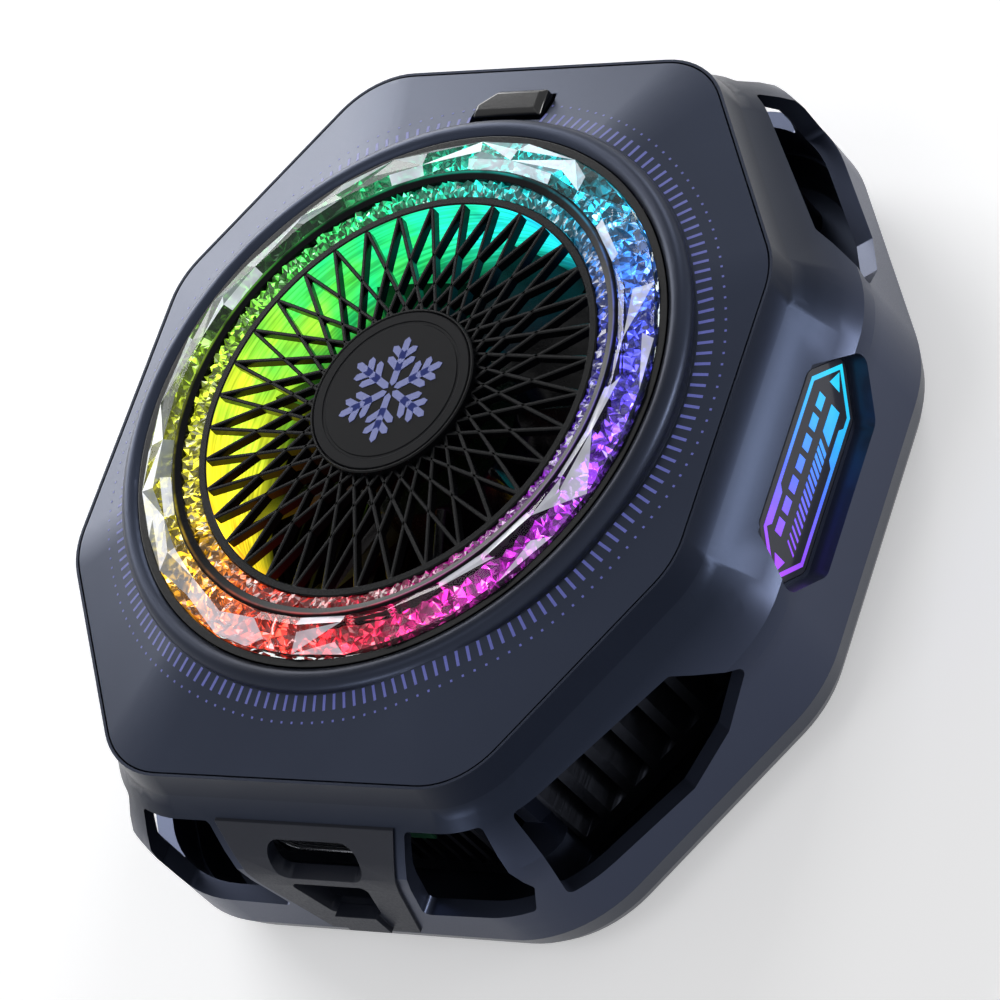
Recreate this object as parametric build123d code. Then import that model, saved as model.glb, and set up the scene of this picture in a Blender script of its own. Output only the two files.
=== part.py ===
from build123d import *
import math
import os

# Fan opening and the rings round it, from the blades outward
blade_tip = 19.4
blade_gap = 0.5
duct_inner = blade_tip + blade_gap
duct_wall = 1.4
duct_outer = duct_inner + duct_wall
frame_wall = 1.3
frame_outer = duct_outer + frame_wall
grille_rim = 0.8
grille_inner = duct_inner - grille_rim
seat_gap = 0.1
grille_flange_radius = duct_outer - seat_gap
carrier_inner = duct_outer + seat_gap
bezel_ring_width = 1.0
crystal_inner = duct_outer + bezel_ring_width
crystal_width = 3.3
crystal_outer = crystal_inner + crystal_width
crystal_ridge_inset = 0.8
crystal_ridge_radius = crystal_inner + crystal_ridge_inset
trim_gap = 0.05
trim_inner = crystal_outer + trim_gap
trim_width = 0.75
trim_outer = trim_inner + trim_width
lip_inner = trim_outer + seat_gap
lip_width = 1.8
lip_outer = lip_inner + lip_width
lip_crest_inset = 0.6

# Outline of the face plate, seen from the front, as bands outside the lip
side_band = 3.5
end_band = 7.0
corner_band = 6.1
half_width = lip_outer + side_band
half_height = lip_outer + end_band
half_diagonal = lip_outer + corner_band
diagonal_angle = 33.0
corner_radius = 8.0

# Heights above the phone's back, where the outline changes its slope
pad_proud = 0.2
chamfer_high = 1.2
band_low = 2.5
rear_band = 2.5
rear_flare = 10.0
front_flare = 5.9
bezel_band = 2.8
parting_height = band_low + rear_band
ridge_height = parting_height + rear_flare
bezel_height = ridge_height + front_flare
face_height = bezel_height + bezel_band
ridge_soften = 1.6

# Growth of the outline at those heights
back_grow = 1.3
chamfer_grow = 3.1
band_grow = 3.9
widest_grow = 4.8
ridge_grow = 4.7
ridge_drop = 0.2
bezel_grow = 0.8
seam_gap = 0.15
seam_land = 0.25
overrun = 1.0
root = 0.5

# Body shell
wall = 1.6
shelf_drop = 0.4
shelf_low = bezel_height - shelf_drop
shelf_width = 2.6
vent_radius = 0.6
gusset_thick = 0.8
gusset_drop = 5.5
gusset_reach = 4.0
gusset_place_shares = (-0.42, 0.04, 0.48)

# Vent and panel outlines: along the half side, and up the wall from the parting line to the bezel
corner_vent_shares = (
    (-0.73, 0.868), (0.43, 0.805), (0.77, 0.553), (0.45, 0.314), (0.085, 0.201), (-0.84, 0.277),
)
front_vent_shares = (
    (0.505, 0.881), (0.869, 0.881), (0.961, 0.453), (0.893, 0.264), (0.335, 0.239),
)
panel_shares = ((-0.459, 0.9), (0.459, 0.9), (0.226, 0.044), (-0.226, 0.044))
panel_hole_shares = ((-0.2, 0.547), (0.2, 0.547), (0.126, 0.239), (-0.126, 0.239))
tab_shares = ((-0.107, 0.246), (0.107, 0.246), (0.107, 0.082), (-0.107, 0.082))

# Port panel
panel_proud = 0.3
panel_thick = 1.2
tab_proud = 0.5
port_rise = 1.3
port_height = ridge_height + port_rise
port_slot_width = 9.6
port_slot_height = 3.5
slot_round_share = 0.45

# Face plate
cover_thick = 1.6
cover_low = face_height - cover_thick
crown_share = 0.7
crown_rise = 2.8
lip_shoulder = face_height + crown_rise
lip_crest_rise = 0.35
lip_crest = lip_shoulder + lip_crest_rise
lip_foot_drop = 1.2
lip_foot = lip_shoulder - lip_foot_drop

# Heights of the rings round the fan opening
carrier_drop = 1.7
carrier_low = face_height - carrier_drop
carrier_floor = 0.6
carrier_wall = 0.7
ring_board_thick = 0.6
ring_led_count = 24
ring_led_size = 1.6
ring_led_high = 0.6
glow_thick = 1.8
crystal_low = carrier_low + carrier_floor + ring_board_thick + ring_led_high + glow_thick
crystal_side = 0.9
crystal_edge = crystal_low + crystal_side
crystal_slope = 1.6
crystal_ridge = crystal_edge + crystal_slope
crystal_inner_drop = 0.35
crystal_inner_edge = crystal_ridge - crystal_inner_drop
crystal_facets = 24
trim_drop = 0.6
trim_low = crystal_edge - trim_drop
trim_high = trim_low + trim_width - trim_gap

# Fan grille
grille_rise = 0.3
grille_low = face_height + grille_rise
grille_high = 3.0
grille_top = grille_low + grille_high
grille_flange = 0.6
ice_rise = 0.6
ice_outer_top = grille_top + ice_rise
bezel_ring_rise = 0.2
bezel_ring_top = ice_outer_top + bezel_ring_rise
bezel_ring_chamfer = 0.25
hub_rise = 0.5
hub_top = grille_top + hub_rise
hub_rim = 0.3
badge_thick = 0.4
badge_gap = 0.05
spoke_nodes = 36
spoke_skew = 20.0
spoke_width = 0.5
spoke_lift = 0.3
spoke_low = grille_low + spoke_lift
spoke_top = grille_top - seat_gap

# Fan frame
frame_high = 9.5
frame_low = carrier_low - frame_high
frame_floor = 1.0
floor_top = frame_low + frame_floor
spider_arms = 4
spider_arm_width = 1.8
ear_thick = 1.4
ear_end = 2.2
ear_gap = 0.2
ear_radius = trim_outer + ear_end + ear_gap
ear_angles = (60.0, 120.0, 240.0, 300.0)

# Motor, from the shaft outward
shaft_radius = 1.0
shaft_clearance = 0.03
bearing_wall = 1.0
bearing_outer = shaft_radius + bearing_wall
tube_wall = 0.7
tube_outer = bearing_outer + tube_wall
core_hub = 0.6
coil_inner = tube_outer + core_hub
coil_long = 1.5
coil_outer = coil_inner + coil_long
core_shoe = 0.7
shoe_gap = 0.2
shoe_inner = coil_outer + shoe_gap
core_outer = shoe_inner + core_shoe
air_gap = 0.4
magnet_inner = core_outer + air_gap
magnet_wall = 0.9
magnet_outer = magnet_inner + magnet_wall
yoke_wall = 0.5
yoke_outer = magnet_outer + yoke_wall
cup_wall = 0.9
cup_outer = yoke_outer + cup_wall
base_inset = 0.4
motor_base_radius = cup_outer - base_inset
hub_inset = 0.25
hub_radius = cup_outer - hub_inset
pole_count = 6
pole_width = 1.4
pole_gap = 0.8
coil_wrap = 0.6
board_thick = 0.6

# Motor and impeller, from the frame's floor upward
washer_thick = 0.2
bearing_long = 4.5
bearing_low = floor_top + washer_thick
bearing_high = bearing_low + bearing_long
tube_lip = 0.2
tube_high = bearing_high + tube_lip
core_stack = 2.6
core_high = bearing_high - tube_lip
core_low = core_high - core_stack
boss_gap = 0.4
boss_low = tube_high + boss_gap
boss_high = 0.8
yoke_high = boss_low + boss_high
yoke_top_thick = 0.4
magnet_drop = 0.7
magnet_long = 4.0
magnet_high = yoke_high - magnet_drop
magnet_low = magnet_high - magnet_long
skirt_step = 0.2
yoke_low = magnet_low - skirt_step
cup_low = yoke_low - skirt_step
cup_thick = 1.0
cup_high = yoke_high + cup_thick
blade_count = 9
blade_root = cup_outer - cup_wall + root / 2
blade_middle = (cup_low + cup_high) / 2
blade_root_chord = 7.0
blade_tip_chord = 8.2
blade_thick = 0.8
blade_root_pitch = 50.0
blade_tip_pitch = 35.0

# Thermoelectric module, cold plate and foam
floor_high = 1.7
module_side = 30.0
plate_low = 0.1
plate_margin = 0.2
plate_radius = module_side / math.sqrt(2) + plate_margin
plate_lap = 1.2
plate_flange = plate_radius + plate_lap
plate_flange_thick = 0.6
plate_high = floor_high + plate_flange_thick
plate_block = 0.4
ceramic_thick = 0.6
pellet_high = 1.3
pellet_side = 1.4
pellet_rows = 8
pellet_margin = 2.0
seal_width = 0.8
pad_thick = 0.3
sink_low = plate_high + plate_block + 2 * ceramic_thick + pellet_high + pad_thick
foam_gap = 0.5
sensor_long = 3.0
sensor_wide = 2.0
sensor_high = 1.2
sensor_margin = 3.0

# Rear cover, contact ring and magnets
opening_gap = 0.2
plate_opening = plate_radius + opening_gap
contact_inner = plate_opening + opening_gap
contact_thick = 0.5
magnet_cover = 0.4
magnet_gap = 0.3
magnet_ring_inner = plate_flange + magnet_gap
magnet_ring_width = 5.2
magnet_ring_outer = magnet_ring_inner + magnet_ring_width
magnet_ring_low = contact_thick + magnet_cover
magnet_ring_thick = 1.8
magnet_ring_high = magnet_ring_low + magnet_ring_thick
magnet_ring_count = 16
magnet_ring_slit = 0.5
shield_lap = 0.1
shield_inner = magnet_ring_inner - shield_lap
shield_outer = magnet_ring_outer + shield_lap
shield_thick = 0.5
foam_low = magnet_ring_high + shield_thick
contact_lap = 0.8
contact_outer = magnet_ring_outer + contact_lap

# Fasteners
screw_radius = 0.9
screw_head_radius = 1.8
screw_head_high = 1.2
screw_slot = 0.4
screw_slot_deep = 0.4
screw_seat = 2.1
screw_bite = 1.4
head_clearance = 0.2
screw_edge = 0.2
cover_boss_radius = 2.4
cover_screw_inset = 3.2
cover_screw_long = 4.0
cover_screw_tip = parting_height + cover_screw_long
sink_screw_radius = contact_outer + screw_head_radius + head_clearance + screw_edge
sink_screw_tip = sink_low + screw_bite
fan_screw_bite = 1.7
fan_screw_tip = carrier_low + fan_screw_bite

# Control board and power socket
board_half = 9.5
board_front = half_height
board_deep = 9.6
board_back = board_front - board_deep
main_board_thick = 1.0
board_chip = (3.6, 2.2, 1.1)
board_chip_place_shares = (-0.67, -0.22, 0.22, 0.67)
board_chip_margin = 1.5
board_clearance = 1.0
socket_width = 8.94
socket_high = 3.2
socket_long = 7.3
socket_wall = 0.3
socket_back_wall = 1.0
socket_sink = 0.4
tongue_width = 6.7
tongue_thick = 0.7
tongue_long = 4.6

# Mode button
button_inset = 1.25
button_y = (lip_outer + half_height) / 2 - button_inset
button_length = 7.2
button_width = 2.7
button_cut_long = 2.0
button_cut_wide = 1.4
button_proud = 1.0
button_bevel = 0.45
button_gap = 0.2
button_flange = 0.6
button_flange_thick = 0.6
button_travel = 0.4
button_rest_gap = 0.2
recess_margin = 0.45
recess_deep = 0.45
switch_long = 4.5
switch_wide = 2.8
switch_high = 1.3
plunger_radius = 0.8
plunger_high = 0.3
button_board_long = 13.2
button_board_wide = 4.0
button_board_thick = 0.8
button_post_x = 5.7
button_post_radius = 0.8

# Side light windows
window_stand = 2.8
window_drop = 1.0
window_height = ridge_height - window_drop
window_end_margin = 4.3
window_half_width = 4.0
window_straight_share = 0.655
window_radius = 1.2
window_recess = 0.5
lens_thick = 1.0
lens_gap = 0.05
guide_thick = 0.7
guide_ledge = 0.7
window_seat = 1.0
window_seat_margin = 1.4
window_board_thick = 0.8
window_led_size = 1.6
window_led_high = 0.4
window_led_place_shares = (-0.585, -0.195, 0.195, 0.585)
window_face = half_width + window_stand
window_back = window_face - lens_thick - guide_thick - window_seat

# Heat sink
sink_base = 1.8
sink_inset = 1.0
sink_side_gap = 0.7
sink_half_width = window_back - window_board_thick - sink_side_gap
fin_cover = 5.7
fin_top = frame_low + fin_cover
fin_thick = 0.5
fin_pitch = 1.6
fan_pocket_gap = 0.4
fan_pocket = frame_outer + fan_pocket_gap
boss_clearance = 0.5

up = (Align.CENTER, Align.CENTER, Align.MIN)


def corner_points(grow):
    """The eight corners of the outline, moved outward by grow."""
    turn = math.radians(diagonal_angle)
    wide = half_width + grow
    high = half_height + grow
    across = half_diagonal + grow
    top_x = (across - high * math.sin(turn)) / math.cos(turn)
    side_y = (across - wide * math.cos(turn)) / math.sin(turn)
    quarter = [(wide, side_y), (top_x, high)]
    left = [(-x, y) for x, y in reversed(quarter)]
    upper = quarter + left
    return upper + [(x, -y) for x, y in reversed(upper)]


def outline(height, grow):
    """The rounded eight-sided outline as a flat face at one height."""
    face = make_face(Polyline(*corner_points(grow), close=True))
    return Pos(0, 0, height) * fillet(face.vertices(), corner_radius + grow)


def stack(levels):
    """A solid through the outline at each (height, grow) level."""
    return loft([outline(height, grow).face() for height, grow in levels], ruled=True)


def outer_grow(height):
    """Growth of the body shell's outside at a height on its front facets."""
    slope = (ridge_grow - bezel_grow) / (bezel_height - ridge_height)
    return bezel_grow + slope * (bezel_height - height)


def shell_levels(grow, low=parting_height, high=bezel_height):
    """Levels of the side wall, each moved outward by grow."""
    return [
        (low, widest_grow + grow),
        (ridge_height - ridge_soften, ridge_grow + grow),
        (ridge_height, ridge_grow - ridge_drop + grow),
        (ridge_height + ridge_soften, outer_grow(ridge_height + ridge_soften) + grow),
        (high, outer_grow(high) + grow),
    ]


def disc(radius, low, high):
    """A round plate on the fan axis."""
    return Pos(0, 0, low) * Cylinder(radius, high - low, align=up)


def ring(inner, outer, low, high):
    """A plain ring on the fan axis."""
    return disc(outer, low, high) - disc(inner, low, high)


def post(place, radius, low, high):
    """An upright round post, or a hole, at a place seen from the front."""
    return Pos(*place) * disc(radius, low, high)


def block(x_range, y_range, z_range):
    """A box between two values along each axis."""
    size = [high - low for low, high in (x_range, y_range, z_range)]
    middle = [(high + low) / 2 for low, high in (x_range, y_range, z_range)]
    return Pos(*middle) * Box(*size)


def spun(points):
    """A solid of revolution about the fan axis from (radius, height) points."""
    return revolve(Plane.XZ * make_face(Polyline(*points, close=True)), Axis.Z)


def around(piece, count, start=0.0):
    """Copies of a piece evenly spaced about the fan axis."""
    return [Rot(0, 0, start + 360 * turn / count) * piece for turn in range(count)]


def four_ways(piece):
    """A piece and its mirror images in the two middle planes."""
    pair = [piece, mirror(piece, Plane.YZ)]
    return pair + [mirror(part, Plane.XZ) for part in pair]


def side_plane(angle):
    """A plane facing outward at an angle from the long side, with its second axis upward."""
    turn = math.radians(angle)
    across = (-math.sin(turn), math.cos(turn), 0)
    return Plane(origin=(0, 0, 0), x_dir=across, z_dir=(math.cos(turn), math.sin(turn), 0))


def wall_point(side_share, height_share, middle, half_side):
    """A point on a side wall from its shares of the side and of the wall's height."""
    height = parting_height + height_share * (bezel_height - parting_height)
    return (middle + side_share * half_side, height)


def corner_side():
    """Middle and half length of a corner side, measured along it."""
    turn = math.radians(diagonal_angle)
    ends = [corner_points(ridge_grow)[place] for place in (6, 7)]
    along = [x * math.sin(turn) + y * math.cos(turn) for x, y in ends]
    return sum(along) / 2, abs(along[0] - along[1]) / 2


def port_side():
    """Angle, distance, middle and half length of the side that faces down."""
    return -90, half_height, 0, corner_points(ridge_grow)[1][0]


def wall_cutter(shares, side, radius=0):
    """A prism through one side wall, with its corners rounded to a radius."""
    angle, distance, middle, half_side = side
    points = [wall_point(along, height, middle, half_side) for along, height in shares]
    face = make_face(Polyline(*points, close=True))
    if radius > 0:
        face = fillet(face.vertices(), radius)
    start = distance - shelf_width - wall
    reach = distance + widest_grow + overrun
    return extrude(side_plane(angle).offset(start) * face, reach - start)


def corner_vent():
    """The vent in the corner side between the window side and the port side."""
    side = (-diagonal_angle, half_diagonal, *corner_side())
    return wall_cutter(corner_vent_shares, side, vent_radius)


def corner_gussets():
    """Triangular ribs under the shelf behind one corner side."""
    middle, half_side = corner_side()
    inner = half_diagonal + outer_grow(shelf_low) - wall
    foot = half_diagonal + outer_grow(shelf_low - gusset_drop) - wall
    points = [(inner - gusset_reach, shelf_low), (inner + wall / 2, shelf_low),
              (foot + wall / 2, shelf_low - gusset_drop)]
    turn = math.radians(diagonal_angle)
    inward = (-math.sin(turn), -math.cos(turn), 0)
    ribs = []
    for share in gusset_place_shares:
        along = middle + share * half_side
        origin = (along * math.sin(turn), along * math.cos(turn), 0)
        plane = Plane(origin=origin, x_dir=(math.cos(turn), -math.sin(turn), 0), z_dir=inward)
        face = plane * make_face(Polyline(*points, close=True))
        ribs.append(extrude(face, gusset_thick / 2, both=True))
    return ribs


def panel_prism():
    """The tapered space of the port panel in the port side."""
    return wall_cutter(panel_shares, port_side())


def front_vents():
    """The four vents beside the port panel and opposite it."""
    return four_ways(wall_cutter(front_vent_shares, port_side(), vent_radius))


def window_half_length():
    """Half the length of a side window, which keeps a margin to the side's ends."""
    return corner_points(ridge_grow)[0][1] - window_end_margin


def window_outline(grow):
    """The long six-sided outline of a side window, drawn lying along the side."""
    long = window_half_length() + grow
    wide = window_half_width + grow
    straight = window_half_length() * window_straight_share
    upper = [(long, 0), (straight, wide), (-straight, wide)]
    lower = [(-x, -y) for x, y in upper]
    face = make_face(Polyline(*upper, *lower, close=True))
    return Pos(0, window_height) * fillet(face.vertices(), window_radius + grow / 2)


def window_prism(grow, near, far):
    """The window outline between two distances from the middle of the body, on the right side."""
    return extrude(side_plane(0).offset(near) * window_outline(grow), far - near)


def cover_screw_place():
    """Place of the cover screw on the right of the port side."""
    return corner_points(-cover_screw_inset)[1][0], cover_screw_inset - half_height


def sink_screw_place():
    """Place of the heat sink screw beside the port side."""
    turn = math.radians(diagonal_angle)
    return sink_screw_radius * math.cos(turn), -sink_screw_radius * math.sin(turn)


def body_shell():
    """Side wall with the bezel, vents, window seats, ribs and screw bosses."""
    outside = stack(shell_levels(0) + [(face_height, seam_gap + seam_land)])
    foot = (parting_height - overrun, widest_grow - wall)
    hollow = stack([foot] + shell_levels(-wall, high=shelf_low))
    mouth = stack([(shelf_low - overrun, -shelf_width), (cover_low + overrun, -shelf_width)])
    rebate = stack([(cover_low, seam_gap), (face_height + overrun, seam_gap)])
    shell = outside - hollow - mouth - rebate
    seat = window_prism(window_seat_margin, window_back, half_width + widest_grow) & outside
    shell += [seat, mirror(seat, Plane.YZ)]
    pocket = window_prism(lens_gap, window_face - lens_thick, window_face + overrun)
    recess = window_prism(window_recess, window_face, window_face + widest_grow)
    well = window_prism(-guide_ledge, window_back - overrun, window_face)
    for cut in (pocket, recess, well):
        shell -= [cut, mirror(cut, Plane.YZ)]
    for rib in corner_gussets():
        shell += four_ways(rib)
    place = cover_screw_place()
    shell += four_ways(post(place, cover_boss_radius, parting_height, shelf_low + root))
    shell -= four_ways(post(place, screw_radius, parting_height, cover_screw_tip))
    shell -= four_ways(corner_vent())
    shell -= front_vents()
    shell -= panel_prism()
    return shell


def rounded_slot(wide, high):
    """A flat slot with rounded ends at the socket's height."""
    return Pos(0, port_height) * fillet(Rectangle(wide, high).vertices(), high * slot_round_share)


def port_panel():
    """Tapered panel with the socket slot, the lower hole and its tab."""
    outside = stack(shell_levels(panel_proud))
    inside = stack(shell_levels(-panel_thick, low=parting_height - overrun, high=bezel_height + overrun))
    panel = (outside - inside) & panel_prism()
    slot = rounded_slot(port_slot_width, port_slot_height)
    panel -= extrude(side_plane(-90).offset(half_height - wall) * slot, wall + widest_grow + overrun)
    panel -= wall_cutter(panel_hole_shares, port_side(), vent_radius)
    raised = stack(shell_levels(panel_proud + tab_proud)) - stack(shell_levels(-root))
    return panel + (raised & wall_cutter(tab_shares, port_side()))


def lip_profile():
    """Cross-section of the rolled lip round the fan opening."""
    inner = (lip_inner, lip_shoulder)
    outer = (lip_outer, lip_foot)
    crest = ThreePointArc(inner, (lip_inner + lip_crest_inset, lip_crest), outer)
    rest = Polyline(outer, (lip_outer, cover_low), (lip_inner, cover_low), inner)
    return Plane.XZ * make_face(crest + rest)


def cover_top(y):
    """Height of the face plate's upper facet at a distance from the middle."""
    return face_height + crown_rise * (1 - y / half_height) / (1 - crown_share)


def button_outline(grow):
    """The mode button's outline with one corner cut, moved outward by grow."""
    long = button_length / 2
    wide = button_width / 2
    points = [(long, -wide), (long, wide), (-long + button_cut_long, wide),
              (-long, wide - button_cut_wide), (-long, -wide)]
    face = make_face(Polyline(*points, close=True))
    if grow:
        face = offset(face, grow, kind=Kind.INTERSECTION)
    return Pos(0, button_y) * face


def front_cover():
    """Face plate with shallow facets, rolled lip and the button's recess."""
    low = outline(face_height, 0)
    high = Pos(0, 0, crown_rise) * scale(outline(0, 0), crown_share)
    crown = loft([low.face(), (Pos(0, 0, face_height) * high).face()], ruled=True)
    plate = stack([(cover_low, 0), (face_height, 0)]) + crown
    high_end = face_height + crown_rise + overrun
    plate -= disc(lip_inner + lip_width / 2, cover_low - overrun, high_end)
    plate += revolve(lip_profile(), Axis.Z)
    recess_floor = cover_top(button_y) - recess_deep
    plate -= extrude(Pos(0, 0, recess_floor) * button_outline(recess_margin), crown_rise + overrun)
    well = Pos(0, 0, cover_low - overrun) * button_outline(button_gap)
    plate -= extrude(well, high_end - cover_low + overrun)
    for x in (-button_post_x, button_post_x):
        plate += post((x, button_y), button_post_radius, button_board_top(), cover_low + root)
    for spot in ear_places():
        boss = post(spot, ear_end, carrier_low, cover_low + root)
        plate = plate + boss - post(spot, screw_radius, carrier_low, fan_screw_tip)
    return plate


def ear_places():
    """Middles of the fan frame's ears."""
    turns = [math.radians(angle) for angle in ear_angles]
    return [(ear_radius * math.cos(turn), ear_radius * math.sin(turn)) for turn in turns]


def ring_carrier():
    """Channel that holds the light ring's board and seats the clear ring."""
    floor_top = carrier_low + carrier_floor
    floor = ring(carrier_inner, trim_outer, carrier_low, floor_top)
    return floor + ring(trim_outer - carrier_wall, trim_outer, floor_top, trim_low)


def ring_board():
    """Ring-shaped board under the clear ring."""
    low = carrier_low + carrier_floor
    return ring(crystal_inner, crystal_outer, low, low + ring_board_thick)


def ring_leds():
    """Lights evenly spaced on the ring board."""
    low = carrier_low + carrier_floor + ring_board_thick
    radius = (crystal_inner + crystal_outer) / 2
    light = Pos(radius, 0, low) * Box(ring_led_size, ring_led_size, ring_led_high, align=up)
    return around(light, ring_led_count)


def glow_ring():
    """Textured light ring between the lights and the clear ring."""
    low = carrier_low + carrier_floor + ring_board_thick + ring_led_high
    return ring(crystal_inner, crystal_outer, low, crystal_low)


def crystal_polygon(radius, height):
    """A regular polygon whose flats lie at a radius."""
    reach = radius / math.cos(math.pi / crystal_facets)
    turns = [2 * math.pi * place / crystal_facets for place in range(crystal_facets)]
    points = [(reach * math.cos(turn), reach * math.sin(turn)) for turn in turns]
    return Pos(0, 0, height) * make_face(Polyline(*points, close=True))


def crystal_ring():
    """Clear faceted ring."""
    slope = loft([crystal_polygon(crystal_outer, crystal_edge).face(),
                  crystal_polygon(crystal_ridge_radius, crystal_ridge).face()], ruled=True)
    foot = disc(crystal_outer, crystal_low, crystal_ridge)
    body = (slope & foot) + ring(crystal_inner, crystal_outer, crystal_low, crystal_edge)
    high_end = crystal_ridge + overrun
    bevel = spun([(0, crystal_inner_edge), (crystal_inner, crystal_inner_edge),
                  (crystal_ridge_radius, crystal_ridge), (crystal_ridge_radius, high_end), (0, high_end)])
    return body - disc(crystal_inner, crystal_low - overrun, high_end) - bevel


def inner_bezel_ring():
    """Dark ring between the clear ring and the textured inner ring."""
    low = carrier_low + carrier_floor
    side = bezel_ring_top - bezel_ring_chamfer
    return spun([(duct_outer, low), (crystal_inner, low), (crystal_inner, side),
                 (crystal_inner - bezel_ring_chamfer, bezel_ring_top), (duct_outer, side)])


def ice_ring():
    """Narrow sloping ring with a frosted texture, round the grille."""
    low = grille_low + grille_flange
    foot = [(duct_inner, low), (duct_outer, low)]
    return spun(foot + [(duct_outer, ice_outer_top), (duct_inner, grille_top)])


def trim_ring():
    """Thin ring between the clear ring and the lip."""
    return ring(trim_inner, trim_outer, trim_low, trim_high)


def fan_grille():
    """Rim, crossed upright spokes and the hub."""
    rim = ring(grille_inner, duct_inner, grille_low, grille_top)
    flange = ring(grille_inner, grille_flange_radius, grille_low, grille_low + grille_flange)
    rim_radius = (grille_inner + duct_inner) / 2
    seat_radius = hub_radius - hub_rim
    bars = []
    for node in range(spoke_nodes):
        start = math.radians(360 * node / spoke_nodes)
        for skew in (-spoke_skew, spoke_skew):
            end = start + math.radians(skew)
            outer = Vector(rim_radius * math.cos(start), rim_radius * math.sin(start))
            inner = Vector(seat_radius * math.cos(end), seat_radius * math.sin(end))
            middle = (outer + inner) / 2
            turn = math.degrees(math.atan2(outer.Y - inner.Y, outer.X - inner.X))
            bar = Rectangle((outer - inner).length, spoke_width)
            bars.append(Pos(middle.X, middle.Y) * Rot(0, 0, turn) * bar)
    web = Sketch() + bars
    spokes = extrude(Pos(0, 0, spoke_low) * web, spoke_top - spoke_low)
    hub = disc(hub_radius, grille_low, hub_top)
    return rim + flange + spokes + hub - disc(seat_radius, hub_top - badge_thick, hub_top + overrun)


def hub_badge():
    """Disc set in the grille's hub."""
    return disc(hub_radius - hub_rim - badge_gap, hub_top - badge_thick, hub_top)


def light_duct():
    """Clear wall of the fan duct, lit from behind."""
    return ring(duct_inner, duct_outer, floor_top, grille_low)


def fan_frame():
    """Frame round the duct with the motor's spider, bearing tube and ears."""
    wall_ring = ring(duct_outer, frame_outer, frame_low, carrier_low)
    floor = ring(duct_inner, frame_outer, frame_low, floor_top)
    base = disc(motor_base_radius, frame_low, floor_top)
    arm = block((motor_base_radius - root, duct_inner + root),
                (-spider_arm_width / 2, spider_arm_width / 2), (frame_low, floor_top))
    frame = wall_ring + floor + base + around(arm, spider_arms, 180 / spider_arms)
    frame += disc(tube_outer, floor_top, tube_high)
    frame -= disc(bearing_outer, floor_top, tube_high + overrun)
    ear_low = carrier_low - ear_thick
    span = block((frame_outer - root, ear_radius), (-ear_end, ear_end), (ear_low, carrier_low))
    for spot, angle in zip(ear_places(), ear_angles):
        ear = post(spot, ear_end, ear_low, carrier_low)
        frame = frame + ear + Rot(0, 0, angle) * span - post(spot, screw_radius, ear_low, carrier_low)
    return frame


def screw(head_low, tip):
    """A cross-slotted screw that stands on its head."""
    head_top = head_low + screw_head_high
    body = disc(screw_head_radius, head_low, head_top) + disc(screw_radius, head_top, tip)
    slot = block((-screw_head_radius, screw_head_radius), (-screw_slot / 2, screw_slot / 2),
                 (head_low, head_low + screw_slot_deep))
    return body - slot - Rot(0, 0, 90) * slot


def fan_screws():
    """Screws from the ears into the face plate."""
    low = carrier_low - ear_thick - screw_head_high
    return [Pos(*spot) * screw(low, fan_screw_tip) for spot in ear_places()]


def thrust_washer():
    """Washer at the bottom of the bearing tube."""
    return disc(bearing_outer, floor_top, bearing_low)


def bearing_sleeve():
    """Sleeve in which the shaft runs."""
    return ring(shaft_radius + shaft_clearance, bearing_outer, bearing_low, bearing_high)


def fan_board():
    """Round board of the motor, on the spider's base."""
    return ring(tube_outer, magnet_inner - air_gap, floor_top, floor_top + board_thick)


def pole_box(width, near, far, low, high):
    """A box along one pole of the stator."""
    return block((near, far), (-width / 2, width / 2), (low, high))


def stator_core():
    """Laminated core with its poles."""
    shoes = ring(shoe_inner, core_outer, core_low, core_high)
    slit = pole_box(pole_gap, shoe_inner - root, core_outer + overrun,
                    core_low - overrun, core_high + overrun)
    shoes -= around(slit, pole_count, 180 / pole_count)
    pole = pole_box(pole_width, (tube_outer + coil_inner) / 2, shoe_inner + core_shoe / 2,
                    core_low, core_high)
    return ring(tube_outer, coil_inner, core_low, core_high) + around(pole, pole_count) + shoes


def stator_coils():
    """One winding on each pole."""
    wide = pole_width + 2 * coil_wrap
    coil = pole_box(wide, coil_inner, coil_outer, core_low - coil_wrap, core_high + coil_wrap)
    coil -= pole_box(pole_width, coil_inner - overrun, coil_outer + overrun, core_low, core_high)
    return around(coil, pole_count)


def rotor_magnet():
    """Ring magnet inside the yoke."""
    return ring(magnet_inner, magnet_outer, magnet_low, magnet_high)


def rotor_yoke():
    """Steel cup round the magnet."""
    cup = ring(magnet_outer, yoke_outer, yoke_low, yoke_high)
    return cup + ring(bearing_outer, yoke_outer, yoke_high - yoke_top_thick, yoke_high)


def shaft_top():
    """Height of the shaft's end, halfway through the impeller's top."""
    return (cup_high + yoke_high) / 2


def fan_shaft():
    """Shaft pressed into the impeller, standing on the washer."""
    return disc(shaft_radius, bearing_low, shaft_top())


def blade():
    """One twisted fan blade along the first axis."""
    def section(place, chord, pitch):
        plane = Plane(origin=(place, 0, blade_middle), x_dir=(0, 1, 0), z_dir=(1, 0, 0))
        return (plane * Rot(0, 0, pitch) * Rectangle(chord, blade_thick)).face()
    return loft([section(blade_root, blade_root_chord, blade_root_pitch),
                 section(blade_tip + overrun, blade_tip_chord, blade_tip_pitch)], ruled=True)


def impeller():
    """Blades on a cup that covers the yoke."""
    cup = disc(cup_outer, cup_low, cup_high) - disc(yoke_outer, cup_low - overrun, yoke_high)
    cup += disc(bearing_outer, boss_low, yoke_high)
    sweep = disc(blade_tip, cup_low, cup_high + blade_tip_chord)
    wheel = cup + [part & sweep for part in around(blade(), blade_count)]
    return wheel - disc(shaft_radius, boss_low - overrun, shaft_top())


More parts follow.
